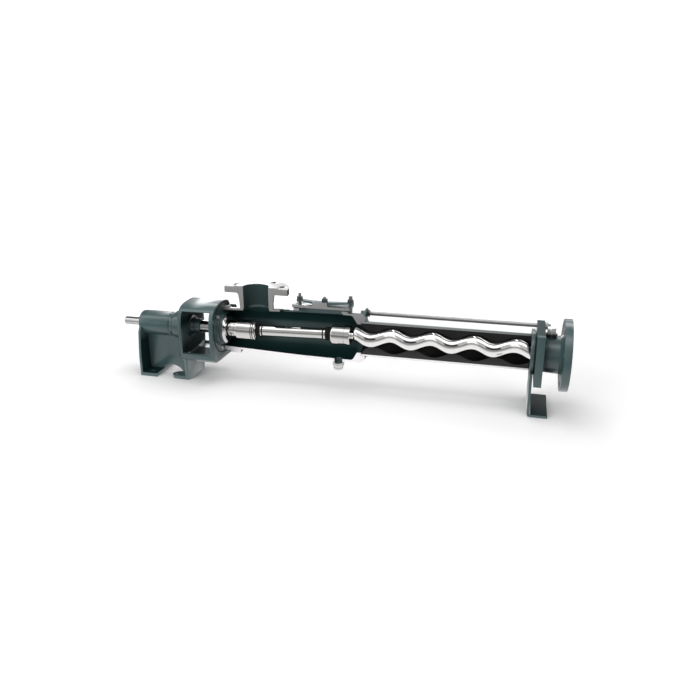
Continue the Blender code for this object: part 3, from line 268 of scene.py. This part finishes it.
class Graph:
    """A short way to write node trees."""

    def __init__(self, tree):
        self.tree = tree
        tree.nodes.clear()

    def fill(self, node, values):
        """Links or sets inputs, given by name or number."""
        for name, value in values.items():
            if isinstance(value, bpy.types.NodeSocket):
                self.tree.links.new(value, node.inputs[name])
            else:
                node.inputs[name].default_value = value

    def node(self, kind, values=None, **settings):
        node = self.tree.nodes.new(kind)
        for name, value in settings.items():
            setattr(node, name, value)
        self.fill(node, values or {})
        return node

    def place(self):
        return self.node("ShaderNodeTexCoord").outputs["Object"]

    def parts(self, vector):
        return self.node("ShaderNodeSeparateXYZ", {"Vector": vector}).outputs

    def stretched(self, vector, scale):
        return self.node("ShaderNodeMapping", {"Vector": vector, "Scale": scale}).outputs["Vector"]

    def ramp(self, factor, stops):
        """A grey ramp through (place, value) stops."""
        node = self.node("ShaderNodeValToRGB", {"Fac": factor})
        while len(node.color_ramp.elements) < len(stops):
            node.color_ramp.elements.new(0.5)
        for element, (place, value) in zip(node.color_ramp.elements, stops):
            element.position = place
            element.color = (value, value, value, 1.0)
        return node.outputs["Color"]

    def noise(self, place, scale, detail=4.0, roughness=0.6):
        node = self.node("ShaderNodeTexNoise", {
            "Vector": place, "Scale": scale, "Detail": detail, "Roughness": roughness})
        return node.outputs["Fac"]

    def mix(self, factor, first, second):
        node = self.node("ShaderNodeMix", data_type="RGBA")
        self.fill(node, {0: factor, 6: first, 7: second})
        return node.outputs[2]

    def math(self, operation, first, second=0.0):
        return self.node("ShaderNodeMath", {0: first, 1: second}, operation=operation).outputs[0]

    def between(self, value, low, high, new_low=0.0, new_high=1.0):
        node = self.node("ShaderNodeMapRange", {
            "Value": value, "From Min": low, "From Max": high, "To Min": new_low, "To Max": new_high})
        return node.outputs["Result"]

    def spread(self, noise, new_low=0.0, new_high=1.0):
        """The middle of a noise's range, stretched to new limits."""
        return self.between(noise, NOISE_LOW, NOISE_HIGH, new_low, new_high)

    def bump(self, height, strength, distance, **normal):
        return self.node("ShaderNodeBump", {
            "Height": height, "Strength": strength, "Distance": distance, **normal}).outputs["Normal"]

    def by_ray(self, seen, mirrored):
        """One shader for what the camera sees, and another for all other rays."""
        ray = self.node("ShaderNodeLightPath").outputs["Is Camera Ray"]
        both = self.node("ShaderNodeMixShader", {"Fac": ray, 1: mirrored.outputs[0], 2: seen.outputs[0]})
        return both.outputs[0]


def new_material(name):
    material = bpy.data.materials.new(name)
    material.use_nodes = True
    graph = Graph(material.node_tree)
    shader = graph.node("ShaderNodeBsdfPrincipled")
    graph.node("ShaderNodeOutputMaterial", {"Surface": shader.outputs["BSDF"]})
    return material, graph, shader


def paint_material(name, colour, rough=0.36, band=None, coat=0.60):
    """Enamel over cast iron with colour drift and worn edges; `band` is painted light, lightening the middle
    height and the throat.
    """
    material, graph, shader = new_material(name)
    place = graph.place()
    drift = graph.noise(place, scale=9.0, detail=3.0)
    light = tuple(min(1.0, c * 1.15) for c in colour)
    dark = tuple(c * 0.85 for c in colour)
    worn = tuple(min(1.0, c * 2.2 + 0.01) for c in colour)
    tone = graph.mix(graph.spread(drift), (*dark, 1), (*light, 1))
    # Painted light: the tone turns lighter at the heights the stops give
    if band is not None:
        low, high = PAINTED_LIGHT_STOPS[0][0], PAINTED_LIGHT_STOPS[-1][0]
        height = graph.between(graph.parts(place)["Z"], low, high)
        share = graph.ramp(height, [((level - low) / (high - low), value) for level, value in PAINTED_LIGHT_STOPS])
        tone = graph.mix(share, tone, (*band, 1))
    fine = graph.noise(place, scale=420.0)
    speck = graph.between(fine, SPECK_START, SPECK_END, 0.0, SPECK_SHARE)
    point = graph.node("ShaderNodeNewGeometry").outputs["Pointiness"]
    edge = graph.between(point, WEAR_START, WEAR_END, 0.0, WEAR_SHARE)
    coarse = graph.noise(place, scale=110.0, detail=5.0, roughness=0.65)
    casting = graph.bump(coarse, strength=0.18, distance=0.0005)
    graph.fill(shader, {
        "Base Color": graph.mix(edge, graph.mix(speck, tone, (*light, 1)), (*worn, 1)),
        "Roughness": graph.spread(fine, rough - 0.06, rough + 0.08),
        "Normal": graph.bump(fine, strength=0.08, distance=0.0002, Normal=casting),
        "Coat Weight": coat, "Coat Roughness": 0.16})
    return material


def cut_material():
    """The ground face of the casting: bare grey above, and pale below the axis, the pale being a painted glow
    of light from below.
    """
    material, graph, shader = new_material("cut_face_grey")
    place = graph.place()
    grain = graph.spread(graph.noise(place, scale=260.0, detail=3.0))
    lines = graph.noise(graph.stretched(place, GRINDING_MARKS), scale=1.0, detail=2.0)
    # Painted glow: the cut turns pale below the axis
    painted_glow = graph.between(graph.parts(place)["Z"], PAINTED_GLOW_FULL, PAINTED_GLOW_NONE, 1.0, 0.0)
    graph.fill(shader, {
        "Base Color": graph.mix(painted_glow, graph.mix(grain, *CUT_GREY), graph.mix(grain, *CUT_PAINTED_GLOW)),
        "Roughness": graph.spread(lines, 0.42, 0.58),
        "Normal": graph.bump(lines, strength=0.12, distance=0.0002)})
    return material


def machined_material():
    """A turned flange face of bare metal."""
    material, graph, shader = new_material("flange_face_turned")
    place = graph.place()
    grain = graph.noise(place, scale=180.0, detail=3.0)
    graph.fill(shader, {
        "Base Color": graph.mix(graph.noise(place, scale=25.0, detail=3.0), *TURNED_GREY),
        "Roughness": graph.spread(grain, 0.30, 0.42),
        "Normal": graph.bump(grain, strength=0.06, distance=0.0001),
        "Metallic": 0.35})
    return material


def metal_material(name, colour, rough, stretch, strength, metallic):
    """Polished or plated metal with fine marks, whose direction `stretch` gives."""
    material, graph, shader = new_material(name)
    place = graph.place()
    lines = graph.noise(graph.stretched(place, stretch), scale=1.0, detail=3.0)
    cloud = graph.noise(place, scale=60.0, detail=3.0)
    low = tuple(c * 0.93 for c in colour)
    graph.fill(shader, {
        "Base Color": graph.mix(graph.spread(cloud), (*low, 1), (*colour, 1)),
        "Roughness": graph.spread(lines, rough * 0.75, rough * 1.3),
        "Normal": graph.bump(lines, strength, distance=0.0001),
        "Metallic": metallic})
    return material


def rubber_material(name, share):
    """Black rubber, a little greyer and duller below the axis as a painted glow of light from below; a lower
    `share` darkens it as painted shade.
    """
    material, graph, shader = new_material(name)
    place = graph.place()
    fine = graph.noise(place, scale=700.0, detail=3.0)
    cloud = graph.noise(place, scale=30.0, detail=3.0)
    tone = graph.mix(1.0 - share, graph.mix(graph.spread(cloud), *RUBBER_BLACK), (0.0, 0.0, 0.0, 1))
    low = graph.between(graph.parts(place)["Z"], PAINTED_GLOW_FULL, AXIS_Z, RUBBER_PAINTED_GLOW_SHARE, 0.0)
    grey = RUBBER_PAINTED_GLOW * share ** 2
    graph.fill(shader, {
        "Base Color": graph.mix(low, tone, (grey, grey, grey, 1)),
        "Roughness": graph.spread(fine, 0.48, 0.66),
        "Normal": graph.bump(fine, strength=0.10, distance=0.0002),
        "Specular IOR Level": 0.16})
    return material


def copy_of(nodes, node, name):
    """A piece made from a CAD node: doubled points joined and flat areas made single faces."""
    mesh = nodes[node].data.copy()
    mesh.materials.clear()
    piece = bpy.data.objects.new(name, mesh)
    bpy.context.scene.collection.objects.link(piece)
    model = bmesh.new()
    model.from_mesh(mesh)
    bmesh.ops.remove_doubles(model, verts=model.verts, dist=WELD_DISTANCE)
    bmesh.ops.dissolve_limit(
        model, angle_limit=math.radians(FLAT_ANGLE), verts=model.verts, edges=model.edges,
        delimit={"NORMAL"})
    model.to_mesh(mesh)
    model.free()
    return piece


def soften(piece, width):
    """Rounds the edges and shades the rest smooth."""
    bevel = piece.modifiers.new("round_edges", "BEVEL")
    bevel.width = width
    bevel.segments = BEVEL_SEGMENTS
    bevel.limit_method = "ANGLE"
    bevel.angle_limit = math.radians(SHARP_ANGLE)
    bevel.use_clamp_overlap = True
    bevel.miter_outer = "MITER_ARC"
    bevel.harden_normals = False
    bpy.context.view_layer.objects.active = piece
    evaluated = piece.evaluated_get(bpy.context.evaluated_depsgraph_get())
    done = bpy.data.meshes.new_from_object(evaluated)
    piece.modifiers.clear()
    piece.data = done
    done.shade_smooth()
    done.set_sharp_from_angle(angle=math.radians(SMOOTH_ANGLE))


def paint_faces(piece, slot, test):
    """Gives the faces for which test(centre, normal) holds another material slot."""
    for face in piece.data.polygons:
        if test(face.center, face.normal):
            face.material_index = slot


def new_piece(name, model):
    """An object from a finished bmesh."""
    bmesh.ops.recalc_face_normals(model, faces=model.faces)
    mesh = bpy.data.meshes.new(name)
    model.to_mesh(mesh)
    model.free()
    mesh.shade_smooth()
    mesh.set_sharp_from_angle(angle=math.radians(SHARP_ANGLE))
    piece = bpy.data.objects.new(name, mesh)
    bpy.context.scene.collection.objects.link(piece)
    return piece


def join_rows(model, rows):
    """A closed skin over rows of as many points each, with flat ends."""
    count = len(rows[0])
    for low, high in zip(rows, rows[1:]):
        for i in range(count):
            j = (i + 1) % count
            model.faces.new((low[i], low[j], high[j], high[i]))
    model.faces.new(rows[0])
    model.faces.new(rows[-1])


def lathe(name, profile, place=(0.0, 0.0, AXIS_Z), direction=RIGHT, sides=64, ring=False, turn=0.0):
    """Turns (distance, radius) points about a line; a ring's profile closes on itself."""
    rotate = Vector(UP).rotation_difference(Vector(direction)).to_matrix().to_4x4()
    frame = Matrix.Translation(Vector(place)) @ rotate @ Matrix.Rotation(turn, 4, "Z")
    model = bmesh.new()
    rows = []
    for distance, radius in profile:
        count = sides if radius > 0 else 1
        angles = [math.tau * i / count for i in range(count)]
        rows.append([
            model.verts.new(frame @ Vector((radius * math.cos(a), radius * math.sin(a), distance)))
            for a in angles
        ])
    pairs = list(zip(rows, rows[1:]))
    if ring:
        pairs.append((rows[-1], rows[0]))
    for low, high in pairs:
        for i in range(sides):
            j = (i + 1) % sides
            corners = [low[i % len(low)], low[j % len(low)], high[j % len(high)], high[i % len(high)]]
            face = list(dict.fromkeys(corners))
            if len(face) > 2:
                model.faces.new(face)
    return new_piece(name, model)


def shaft_profile(points, crown=0.0006):
    """(station, radius) points as a solid profile with slightly broken end edges."""
    (start, first), (end, last) = points[0], points[-1]
    return [
        (along(start), 0.0), (along(start), first - crown), (along(start) + crown, first),
        *[(along(station), radius) for station, radius in points[1:-1]],
        (along(end) - crown, last), (along(end), last - crown), (along(end), 0.0),
    ]


def groove(station, radius, width, depth):
    """The points of a groove with slightly sloping sides."""
    half, floor = width / 2, radius - depth
    return [
        (station - half, radius), (station - half * GROOVE_FLOOR, floor),
        (station + half * GROOVE_FLOOR, floor), (station + half, radius),
    ]


def thread(low, high, radius):
    """A stud's outline with thread crests from low to high."""
    points = [(low, 0.0), (low, radius - THREAD_DEPTH)]
    count = max(2, round((high - low) / THREAD_PITCH))
    step = (high - low) / count
    for i in range(count):
        points += [(low + (i + 0.5) * step, radius), (low + (i + 1) * step, radius - THREAD_DEPTH)]
    return points + [(high, 0.0)]


def ring_outline(size, start=0.0):
    """A square outline from a ring's size, measured from `start`."""
    low, high, inner, outer = start + size[0], start + size[1], size[2], size[3]
    return [(low, inner), (low, outer), (high, outer), (high, inner)]


def groove_shade_ring(station, width, radius):
    """The outline of a thin black ring filling a groove round a sleeve or rod, as painted shade."""
    low, high = along(station - width / 2), along(station + width / 2)
    root, edge, crest, slope = radius - 0.0030, radius - 0.0001, radius + 0.0002, 0.0002
    return [(low, root), (low, edge), (low + slope, crest), (high - slope, crest), (high, edge), (high, root)]


def boot_folds(start, end):
    """A bellows outline between two stations."""
    width = (end - start) / BOOT_FOLDS
    points = [(start, 0.0), (start, BOOT_START)]
    for i in range(BOOT_FOLDS):
        low = start + i * width
        for share, radius in ((0.25, BOOT_CREST), (0.60, BOOT_CREST), (0.85, BOOT_ROOT)):
            points.append((low + width * share, radius))
    points += [(end, BOOT_END), (end, 0.0)]
    return [(along(station), radius) for station, radius in points]


def hexagon(name, size, place, direction, start=0.0, turn=0.0, corner=HEXAGON_CORNER):
    """A hexagonal nut or bolt head with broken corners, its size measured from `start`."""
    low, high, radius = start + size[0], start + size[1], size[2]
    rise = corner * CORNER_RISE
    return lathe(name, [
        (low, 0.0), (low, radius - corner), (low + rise, radius), (high - rise, radius),
        (high, radius - corner), (high, 0.0)], place, direction, 6, turn=turn)


def make_rotor(name):
    """The rotor again, with many more sides and rings than the solid has."""
    model = bmesh.new()

    def section(station, radius, reach):
        beta = math.pi / 2 + math.tau * (station - CREST_STATION) / PITCH
        y, z = reach * math.cos(beta), AXIS_Z + ECCENTRICITY + reach * math.sin(beta)
        angles = [math.tau * i / ROTOR_SIDES for i in range(ROTOR_SIDES)]
        return [
            model.verts.new((along(station), y + radius * math.cos(a), z + radius * math.sin(a)))
            for a in angles
        ]

    rows = [
        section(station, ROTOR_NECK_RADIUS, 0.0)
        for station in (ROTOR_NECK_START, ROTOR_START - ROTOR_NECK_LEAD)
    ]
    for distance, loss, share in ROTOR_HEAD:
        rows.append(section(ROTOR_START + distance, ROTOR_RADIUS - loss, ECCENTRICITY * share))
    start = ROTOR_START + ROTOR_HELIX_LEAD
    length = ROTOR_END - start
    count = round(length / PITCH * RINGS_PER_PITCH)
    for i in range(count + 1):
        rows.append(section(start + length * i / count, ROTOR_RADIUS, ECCENTRICITY))
    join_rows(model, rows)
    return new_piece(name, model)


def edge_arc(name):
    """A flat strip along part of a ring, thin at its near end, standing in as painted shade of the gap at the
    lantern's rim.
    """
    start, end, inner, outer = EDGE_SHADE
    model = bmesh.new()
    rows = []
    for i in range(EDGE_SHADE_STEPS + 1):
        share = i / EDGE_SHADE_STEPS
        angle = math.radians(EDGE_SHADE_ANGLES[0] + (EDGE_SHADE_ANGLES[1] - EDGE_SHADE_ANGLES[0]) * share)
        low = outer - (outer - inner) * (1 - EDGE_SHADE_TAPER * share)
        rows.append([
            model.verts.new((along(s), r * math.cos(angle), AXIS_Z + r * math.sin(angle)))
            for s, r in ((start, low), (end, low), (end, outer), (start, outer))
        ])
    join_rows(model, rows)
    return new_piece(name, model)


def make_stage():
    """White floor; what mirrors in the steel is dimmer towards the viewer, as a dark studio is."""
    data = bpy.data.meshes.new("floor")
    corners = [(x * FLOOR_HALF, y * FLOOR_HALF, 0) for x, y in ((-1, -1), (1, -1), (1, 1), (-1, 1))]
    data.from_pydata(corners, [], [(0, 1, 2, 3)])
    floor = bpy.data.objects.new("floor", data)
    floor.location.z = -FLOOR_DROP
    bpy.context.scene.collection.objects.link(floor)
    material, graph, shader = new_material("floor_white")
    parts = graph.parts(graph.place())
    narrowed = graph.node("ShaderNodeCombineXYZ", {
        "X": graph.math("MULTIPLY", parts["X"], FLOOR_NARROWING), "Y": parts["Y"]}).outputs[0]
    reach = graph.node("ShaderNodeVectorMath", {0: narrowed}, operation="LENGTH").outputs["Value"]
    glow = graph.between(reach, FLOOR_GLOW_START, FLOOR_GLOW_END, FLOOR_GLOW_LOW, FLOOR_GLOW_HIGH)
    graph.fill(shader, {
        "Base Color": (FLOOR_WHITE, FLOOR_WHITE, FLOOR_WHITE, 1), "Roughness": 1.0,
        "Specular IOR Level": 0.0, "Emission Color": (1, 1, 1, 1), "Emission Strength": glow})
    dimmer = graph.ramp(graph.between(parts["Y"], *FLOOR_DEPTH), FLOOR_IN_FRONT)
    mirrored = graph.node("ShaderNodeEmission", {"Color": dimmer, "Strength": 1.0})
    output = next(n for n in material.node_tree.nodes if n.type == "OUTPUT_MATERIAL")
    graph.fill(output, {"Surface": graph.by_ray(shader, mirrored)})
    material.cycles.emission_sampling = "NONE"
    data.materials.append(material)


def make_world():
    """Studio light by height angle round the pump's axis."""
    world = bpy.data.worlds.new("studio")
    bpy.context.scene.world = world
    world.use_nodes = True
    graph = Graph(world.node_tree)
    parts = graph.parts(graph.node("ShaderNodeTexCoord").outputs["Generated"])
    front = graph.math("MULTIPLY", parts["Y"], -1.0)
    angle = graph.math("DEGREES", graph.math("ARCTAN2", parts["Z"], front))
    share = graph.between(angle, 0.0, 180.0)

    def side(stops, front_stops=WORLD_FRONT):
        return graph.ramp(share, [(a / 180, value / WORLD_TOP) for a, value in front_stops + stops])

    def turn(limits, left, right):
        return graph.mix(graph.between(parts["X"], *limits), left, right)

    tone = turn(FRONT_LEFT_TURN, side(WORLD_FAR_LEFT, WORLD_FRONT_LEFT), side(WORLD_FAR_LEFT))
    tone = turn(LEFT_TURN, tone, side(WORLD_LEFT))
    tone = turn(RIGHT_TURN, tone, side(WORLD_RIGHT))
    tone = turn(FAR_RIGHT_TURN, tone, side(WORLD_FAR_RIGHT, WORLD_FRONT_RIGHT))
    background = graph.node("ShaderNodeBackground", {"Color": tone, "Strength": WORLD_TOP})
    seen = graph.node("ShaderNodeBackground", {"Color": (1, 1, 1, 1), "Strength": WORLD_SEEN})
    graph.node("ShaderNodeOutputWorld", {"Surface": graph.by_ray(seen, background)})


def make_lights():
    make_world()
    for name, (place, target, size, power) in AREA_LIGHTS.items():
        data = bpy.data.lights.new(name, "AREA")
        data.shape = "RECTANGLE"
        data.size, data.size_y = size
        data.energy = power
        light = bpy.data.objects.new(name, data)
        bpy.context.scene.collection.objects.link(light)
        light.location = place
        light.rotation_euler = (Vector(target) - Vector(place)).to_track_quat("-Z", "Y").to_euler()
        light.visible_glossy = False


def on_cut(centre, normal):
    """Faces in the cutting plane."""
    return normal.y < -IN_CUT and abs(centre.y) < CUT_LIMIT


def off_cut(centre, normal):
    """Faces of the rubber's bore and ends, darkened with painted shade."""
    return abs(centre.y) > CUT_LIMIT or normal.y > -LEVEL


def flange_tops(centre, normal):
    """The turned faces of both flanges."""
    upper = normal.z > LEVEL and centre.z > AXIS_Z + SUCTION_FACE - FACE_LIMIT
    right = normal.x > LEVEL and centre.x > along(DISCHARGE_FACE) - FACE_LIMIT
    return upper or right


def shaded_upper_faces(centre, normal):
    """The upper faces of the foot bracket's plate and the tie plate, darkened with painted shade."""
    return normal.z > LEVEL and (centre.z < FOOT_PLATE_LIMIT or centre.z > AXIS_Z + TIE_PLATE_LIMIT)


def bolt_hole(centre, normal):
    """Walls of the holes in the suction flange, darkened with painted shade."""
    if abs(normal.z) >= HOLE_WALL or centre.z <= AXIS_Z + FLANGE_START:
        return False
    for i in range(FLANGE_HOLES):
        angle = math.tau * (i + 0.5) / FLANGE_HOLES
        x = along(SUCTION_STATION) + FLANGE_HOLE_CIRCLE * math.cos(angle)
        y = FLANGE_HOLE_CIRCLE * math.sin(angle)
        if math.hypot(centre.x - x, centre.y - y) < FLANGE_HOLE_LIMIT:
            return True
    return False


def painted_shade_faces(centre, normal):
    """Faces darkened with painted shade: in the housing, its throat and neck, the flange rim's edge, the ear
    and the bolt holes, and in the lantern's room, the pocket by the end wall and the feet's tops near the
    drive end.
    """
    station, height = centre.x + MIDDLE, centre.z - AXIS_Z
    radius = math.hypot(centre.y, height)
    outwards = centre.y * normal.y + height * normal.z
    if station > HOUSING_START:
        from_neck = math.hypot(station - SUCTION_STATION, centre.y)
        neck = from_neck < NECK_RADIUS and height > NECK_START
        rim = normal.x > LEANING and from_neck > RIM_RADIUS and height > FLANGE_START
        ear = math.hypot(centre.y - EAR_Y, height - EAR_HEIGHT) < EAR_RADIUS and station < EAR_END
        shell = radius < HOUSING_LIMIT and outwards < 0.0 and station < HOUSING_END
        return neck or rim or ear or shell or bolt_hole(centre, normal)
    inwards = outwards < -INWARD_LIMIT or abs(normal.x) > FACING
    room = ROOM_START < station < ROOM_END and radius < ROOM_RADIUS and inwards
    pocket = normal.x > FACING and POCKET_START < station < POCKET_END and height < POCKET_TOP
    foot = normal.z > FACING and centre.z < FOOT_TOP and station < FOOT_END
    return room or pocket or foot


def make_drive_details(turn_out):
    """Drive sleeve, its painted shade rings in the grooves and its boot, and the coupling rod with its painted
    shade rings.
    """
    sleeve, hub = DRIVE_SLEEVE_RADIUS, DRIVE_HUB_RADIUS
    turn_out(lathe("drive_sleeve_turned", shaft_profile([
        (0.3615, hub), (0.3790, hub), *groove(0.3805, hub, width=0.0018, depth=0.0022), (0.3880, hub),
        (0.3895, sleeve), *groove(DRIVE_SHADED_GROOVES[0][0], sleeve, width=0.0014, depth=0.0022),
        *groove(DRIVE_SHADED_GROOVES[1][0], sleeve, width=0.0012, depth=0.0016), (0.4450, sleeve),
        (0.4480, sleeve - 0.0016), (0.4495, sleeve - 0.0050)], crown=0.0010)),
        "polished", "drive", "drive_joint_sleeve")
    # Black rings in the grooves: painted shade
    for i, (station, width) in enumerate(DRIVE_SHADED_GROOVES):
        band = groove_shade_ring(station, width, sleeve)
        turn_out(lathe(f"drive_sleeve_groove_shade_{i}", band, ring=True), "rubber", "drive")
    turn_out(lathe("drive_boot_folds", boot_folds(*DRIVE_BOOT)), "rubber", "drive", "drive_joint_boot")
    joint = (along(DRIVE_JOINT), 0.0, AXIS_Z)
    tilt = Vector((JOINT_DISTANCE, 0.0, ECCENTRICITY)).normalized()

    def on_rod(profile):
        return [(distance - along(DRIVE_JOINT), radius) for distance, radius in profile]

    rod = shaft_profile([
        (0.4626, ROD_END_RADIUS), (0.4666, ROD_END_RADIUS), (0.4672, ROD_GROOVE_RADIUS),
        (0.4692, ROD_GROOVE_RADIUS), (0.4700, ROD_RADIUS), (0.6576, ROD_RADIUS),
        (0.6584, ROD_GROOVE_RADIUS), (0.6602, ROD_GROOVE_RADIUS), (0.6610, 0.0172), (0.6668, ROD_END_RADIUS)])
    turn_out(lathe("coupling_rod_turned", on_rod(rod), joint, tilt), "polished", "coupling", "coupling_rod")
    for i, (station, width) in enumerate(ROD_SHADED_GROOVES):
        band = on_rod(groove_shade_ring(station, width, ROD_GROOVE_SHADE_RADIUS))
        turn_out(lathe(f"coupling_rod_groove_shade_{i}", band, joint, tilt, ring=True), "rubber", "coupling")


def make_rotor_details(turn_out):
    """Rotor boot, rotor sleeve and rotor."""
    axis = (0.0, 0.0, AXIS_Z + ECCENTRICITY)
    turn_out(lathe("rotor_boot_folds", boot_folds(*ROTOR_BOOT), axis), "rubber", "orbit", "rotor_joint_boot")
    start, end, radius, corner = ROTOR_SLEEVE_START, ROTOR_SLEEVE_END, ROTOR_SLEEVE_RADIUS, ROTOR_SLEEVE_CORNER
    angles = [math.pi / 2 * (1 - i / CORNER_STEPS) for i in range(CORNER_STEPS + 1)]
    outline = [(start, 0.0)]
    outline += [(start + corner * (1 - math.sin(a)), radius - corner * (1 - math.cos(a))) for a in angles]
    outline += groove(0.7255, radius, width=0.0016, depth=0.0022)
    outline += [(end - 0.0010, radius), (end, radius - 0.0010), (end, 0.0)]
    profile = [(along(station), r) for station, r in outline]
    turn_out(lathe("rotor_sleeve_turned", profile, axis), "polished", "rotor", "rotor_joint_sleeve")
    turn_out(make_rotor("rotor_helix"), "helix", "rotor", "rotor")


def make_clamp_details(turn_out):
    """Threaded studs, nuts and washers over the cleanout cover."""
    for side, (station, low, bar_top, rise, shank, node) in CLAMP_STUDS.items():
        place = (along(station), CLAMP_Y, AXIS_Z)
        stud = lathe(f"clamp_stud_{side}_thread", thread(low, bar_top + rise, shank), place, UP, 24)
        turn_out(stud, "bolt", "fixed", node)
        washer = ring_outline(CLAMP_WASHER, bar_top)
        turn_out(lathe(f"clamp_washer_{side}", washer, place, UP, 32, ring=True), "bolt", "fixed")
        nut = hexagon(f"clamp_nut_{side}", CLAMP_NUT, place, UP, bar_top, CLAMP_NUT_TURN)
        turn_out(nut, "bolt", "fixed")


def make_plug_details(turn_out):
    """Gauge plug over the discharge body and drain plug under the housing."""
    gauge = (along(GAUGE_STATION), 0.0, AXIS_Z)
    low, high, radius = GAUGE_SEAT, GAUGE_COLLAR_TOP, 0.0145
    turn_out(lathe("gauge_plug_collar", [
        (low, 0.0), (low, radius - 0.0007), (low + 0.0004, radius), (high - 0.0004, radius),
        (high, radius - 0.0007), (high, 0.0)], gauge, UP, 40), "bolt", "fixed", "gauge_plug")
    head = hexagon("gauge_plug_hex", GAUGE_HEXAGON, gauge, UP, turn=GAUGE_TURN, corner=GAUGE_CORNER)
    turn_out(head, "plug", "fixed")
    drain = (along(DRAIN_STATION), 0.0, AXIS_Z)
    seat = DRAIN_SEAT
    turn_out(lathe("drain_ring_turned", [
        (seat - 0.0110, 0.0100), (seat - 0.0110, 0.0160), (seat - 0.0090, 0.0170), (seat - 0.0048, 0.0170),
        (seat - 0.0042, 0.0155), (seat - 0.0034, 0.0155), (seat - 0.0028, 0.0170), (seat, 0.0170),
        (seat, 0.0100)], drain, UP, 40, ring=True), "zinc", "fixed", "drain_plug_seal")
    turn_out(lathe("drain_plug_turned", [
        (seat - 0.0230, 0.0), (seat - 0.0230, 0.0112), (seat - 0.0200, 0.0140), (seat - 0.0165, 0.0145),
        (seat - 0.0158, 0.0132), (seat - 0.0150, 0.0132), (seat - 0.0143, 0.0145), (seat - 0.0113, 0.0145),
        (seat - 0.0113, 0.0097), (seat, 0.0097), (seat, 0.0)], drain, UP, 40), "zinc", "fixed", "drain_plug")


def on_circle(station, radius, angle):
    """A place on a circle round the axis."""
    return (along(station), radius * math.cos(angle), AXIS_Z + radius * math.sin(angle))


def make_fastener_details(turn_out):
    """Bolts on the seal housing and bearing cover, and nuts and washers on the tie rods."""
    for i, degrees in enumerate(SEAL_BOLT_ANGLES):
        place = on_circle(SEAL_STATION, SEAL_BOLT_CIRCLE, math.radians(degrees))
        disc = ring_outline(SEAL_WASHER)
        turn_out(lathe(f"seal_bolt_{i}_washer", disc, place, RIGHT, 24), "zinc", "fixed")
        turn_out(hexagon(f"seal_bolt_{i}", SEAL_BOLT, place, RIGHT, turn=SEAL_BOLT_TURN), "zinc", "fixed")
    cord = [(along(station), radius) for station, radius in ring_outline(JOINT_CORD)]
    turn_out(lathe("lantern_joint_cord", cord, ring=True), "rubber", "fixed")
    # Painted shade: a black strip in the gap at the lantern's rim
    turn_out(edge_arc("lantern_edge_shade_strip"), "rubber", "fixed")
    for i in range(COVER_BOLTS):
        place = on_circle(COVER_STATION, COVER_BOLT_CIRCLE, math.tau * (i + 0.5) / COVER_BOLTS)
        turn_out(hexagon(f"bearing_cover_bolt_{i}", COVER_BOLT, place, LEFT), "bolt", "fixed")
    start = along(TIE_PLATE_STATION)
    for side, height in TIE_HEIGHTS.items():
        place = (0.0, TIE_SIDE, AXIS_Z + height)
        washer = ring_outline(TIE_WASHER, start)
        turn_out(lathe(f"tie_washer_{side}", washer, place, RIGHT, 32, ring=True), "bolt", "fixed")
        crests = thread(start + 0.0100, along(TIE_END), TIE_RADIUS)
        turn_out(lathe(f"tie_thread_{side}", crests, place, RIGHT, 24), "bolt", "fixed")
        lock_nut = hexagon(f"tie_lock_nut_{side}", LOCK_NUT, place, RIGHT, along(LUG_STATION))
        turn_out(lock_nut, "bolt", "fixed")


def main():
    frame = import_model()
    nodes = frame["nodes"]
    body_of = {n: b for b, names in frame["record"]["behaviour"]["bodies"].items() for n in names}
    scene = bpy.context.scene
    scene.view_settings.view_transform = "Standard"
    scene.view_settings.look = "None"
    make_camera()
    make_stage()
    make_lights()
    looks = {"paint": paint_material("enamel_green", GREEN)}
    looks.update((look, metal_material(*settings)) for look, settings in METALS.items())
    looks["rubber"] = rubber_material("rubber_black", 1.0)
    # The bore's darker rubber is painted shade
    looks["bore"] = rubber_material("rubber_bore", BORE_SHADE_SHARE)
    # A darker copy of the enamel with a lighter band: painted shade and painted light
    shade_enamel = paint_material("enamel_painted_shade", GREEN_PAINTED_SHADE, SHADE_ENAMEL_ROUGHNESS, GREEN_PAINTED_LIGHT, 0.0)
    shade_enamel.node_tree.nodes["Principled BSDF"].inputs["Specular IOR Level"].default_value = SHADE_ENAMEL_SPECULAR
    casting_materials = (looks["paint"], cut_material(), shade_enamel, machined_material())

    def turn_out(piece, look, body, node=None):
        """Gives a piece its material and body, and hides the CAD node it replaces."""
        piece.data.materials.append(looks[look])
        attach(piece, body)
        if node:
            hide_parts(node)

    for node, (name, width) in CAST_PIECES.items():
        piece = copy_of(nodes, node, name)
        soften(piece, width)
        for material in casting_materials:
            piece.data.materials.append(material)
        # Painted shade: hollows, holes, the pocket and some upper faces take the darker enamel
        if node in ("suction_housing", "bearing_lantern"):
            paint_faces(piece, PAINTED_SHADE_SLOT, painted_shade_faces)
        if node in ("foot_bracket", "tie_plate"):
            paint_faces(piece, PAINTED_SHADE_SLOT, shaded_upper_faces)
        if node in ("suction_housing", "discharge_body"):
            paint_faces(piece, TURNED_SLOT, flange_tops)
        paint_faces(piece, CUT_SLOT, on_cut)
        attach(piece, body_of[node])
        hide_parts(node)
    for node, look in COPIED_PIECES.items():
        piece = copy_of(nodes, node, node + "_finished")
        soften(piece, COPY_BEVEL)
        turn_out(piece, look, body_of[node], node)
        if node == "stator_rubber":
            piece.data.materials.append(looks["bore"])
            paint_faces(piece, BORE_SHADE_SLOT, off_cut)
    make_drive_details(turn_out)
    make_rotor_details(turn_out)
    make_clamp_details(turn_out)
    make_plug_details(turn_out)
    make_fastener_details(turn_out)


main()
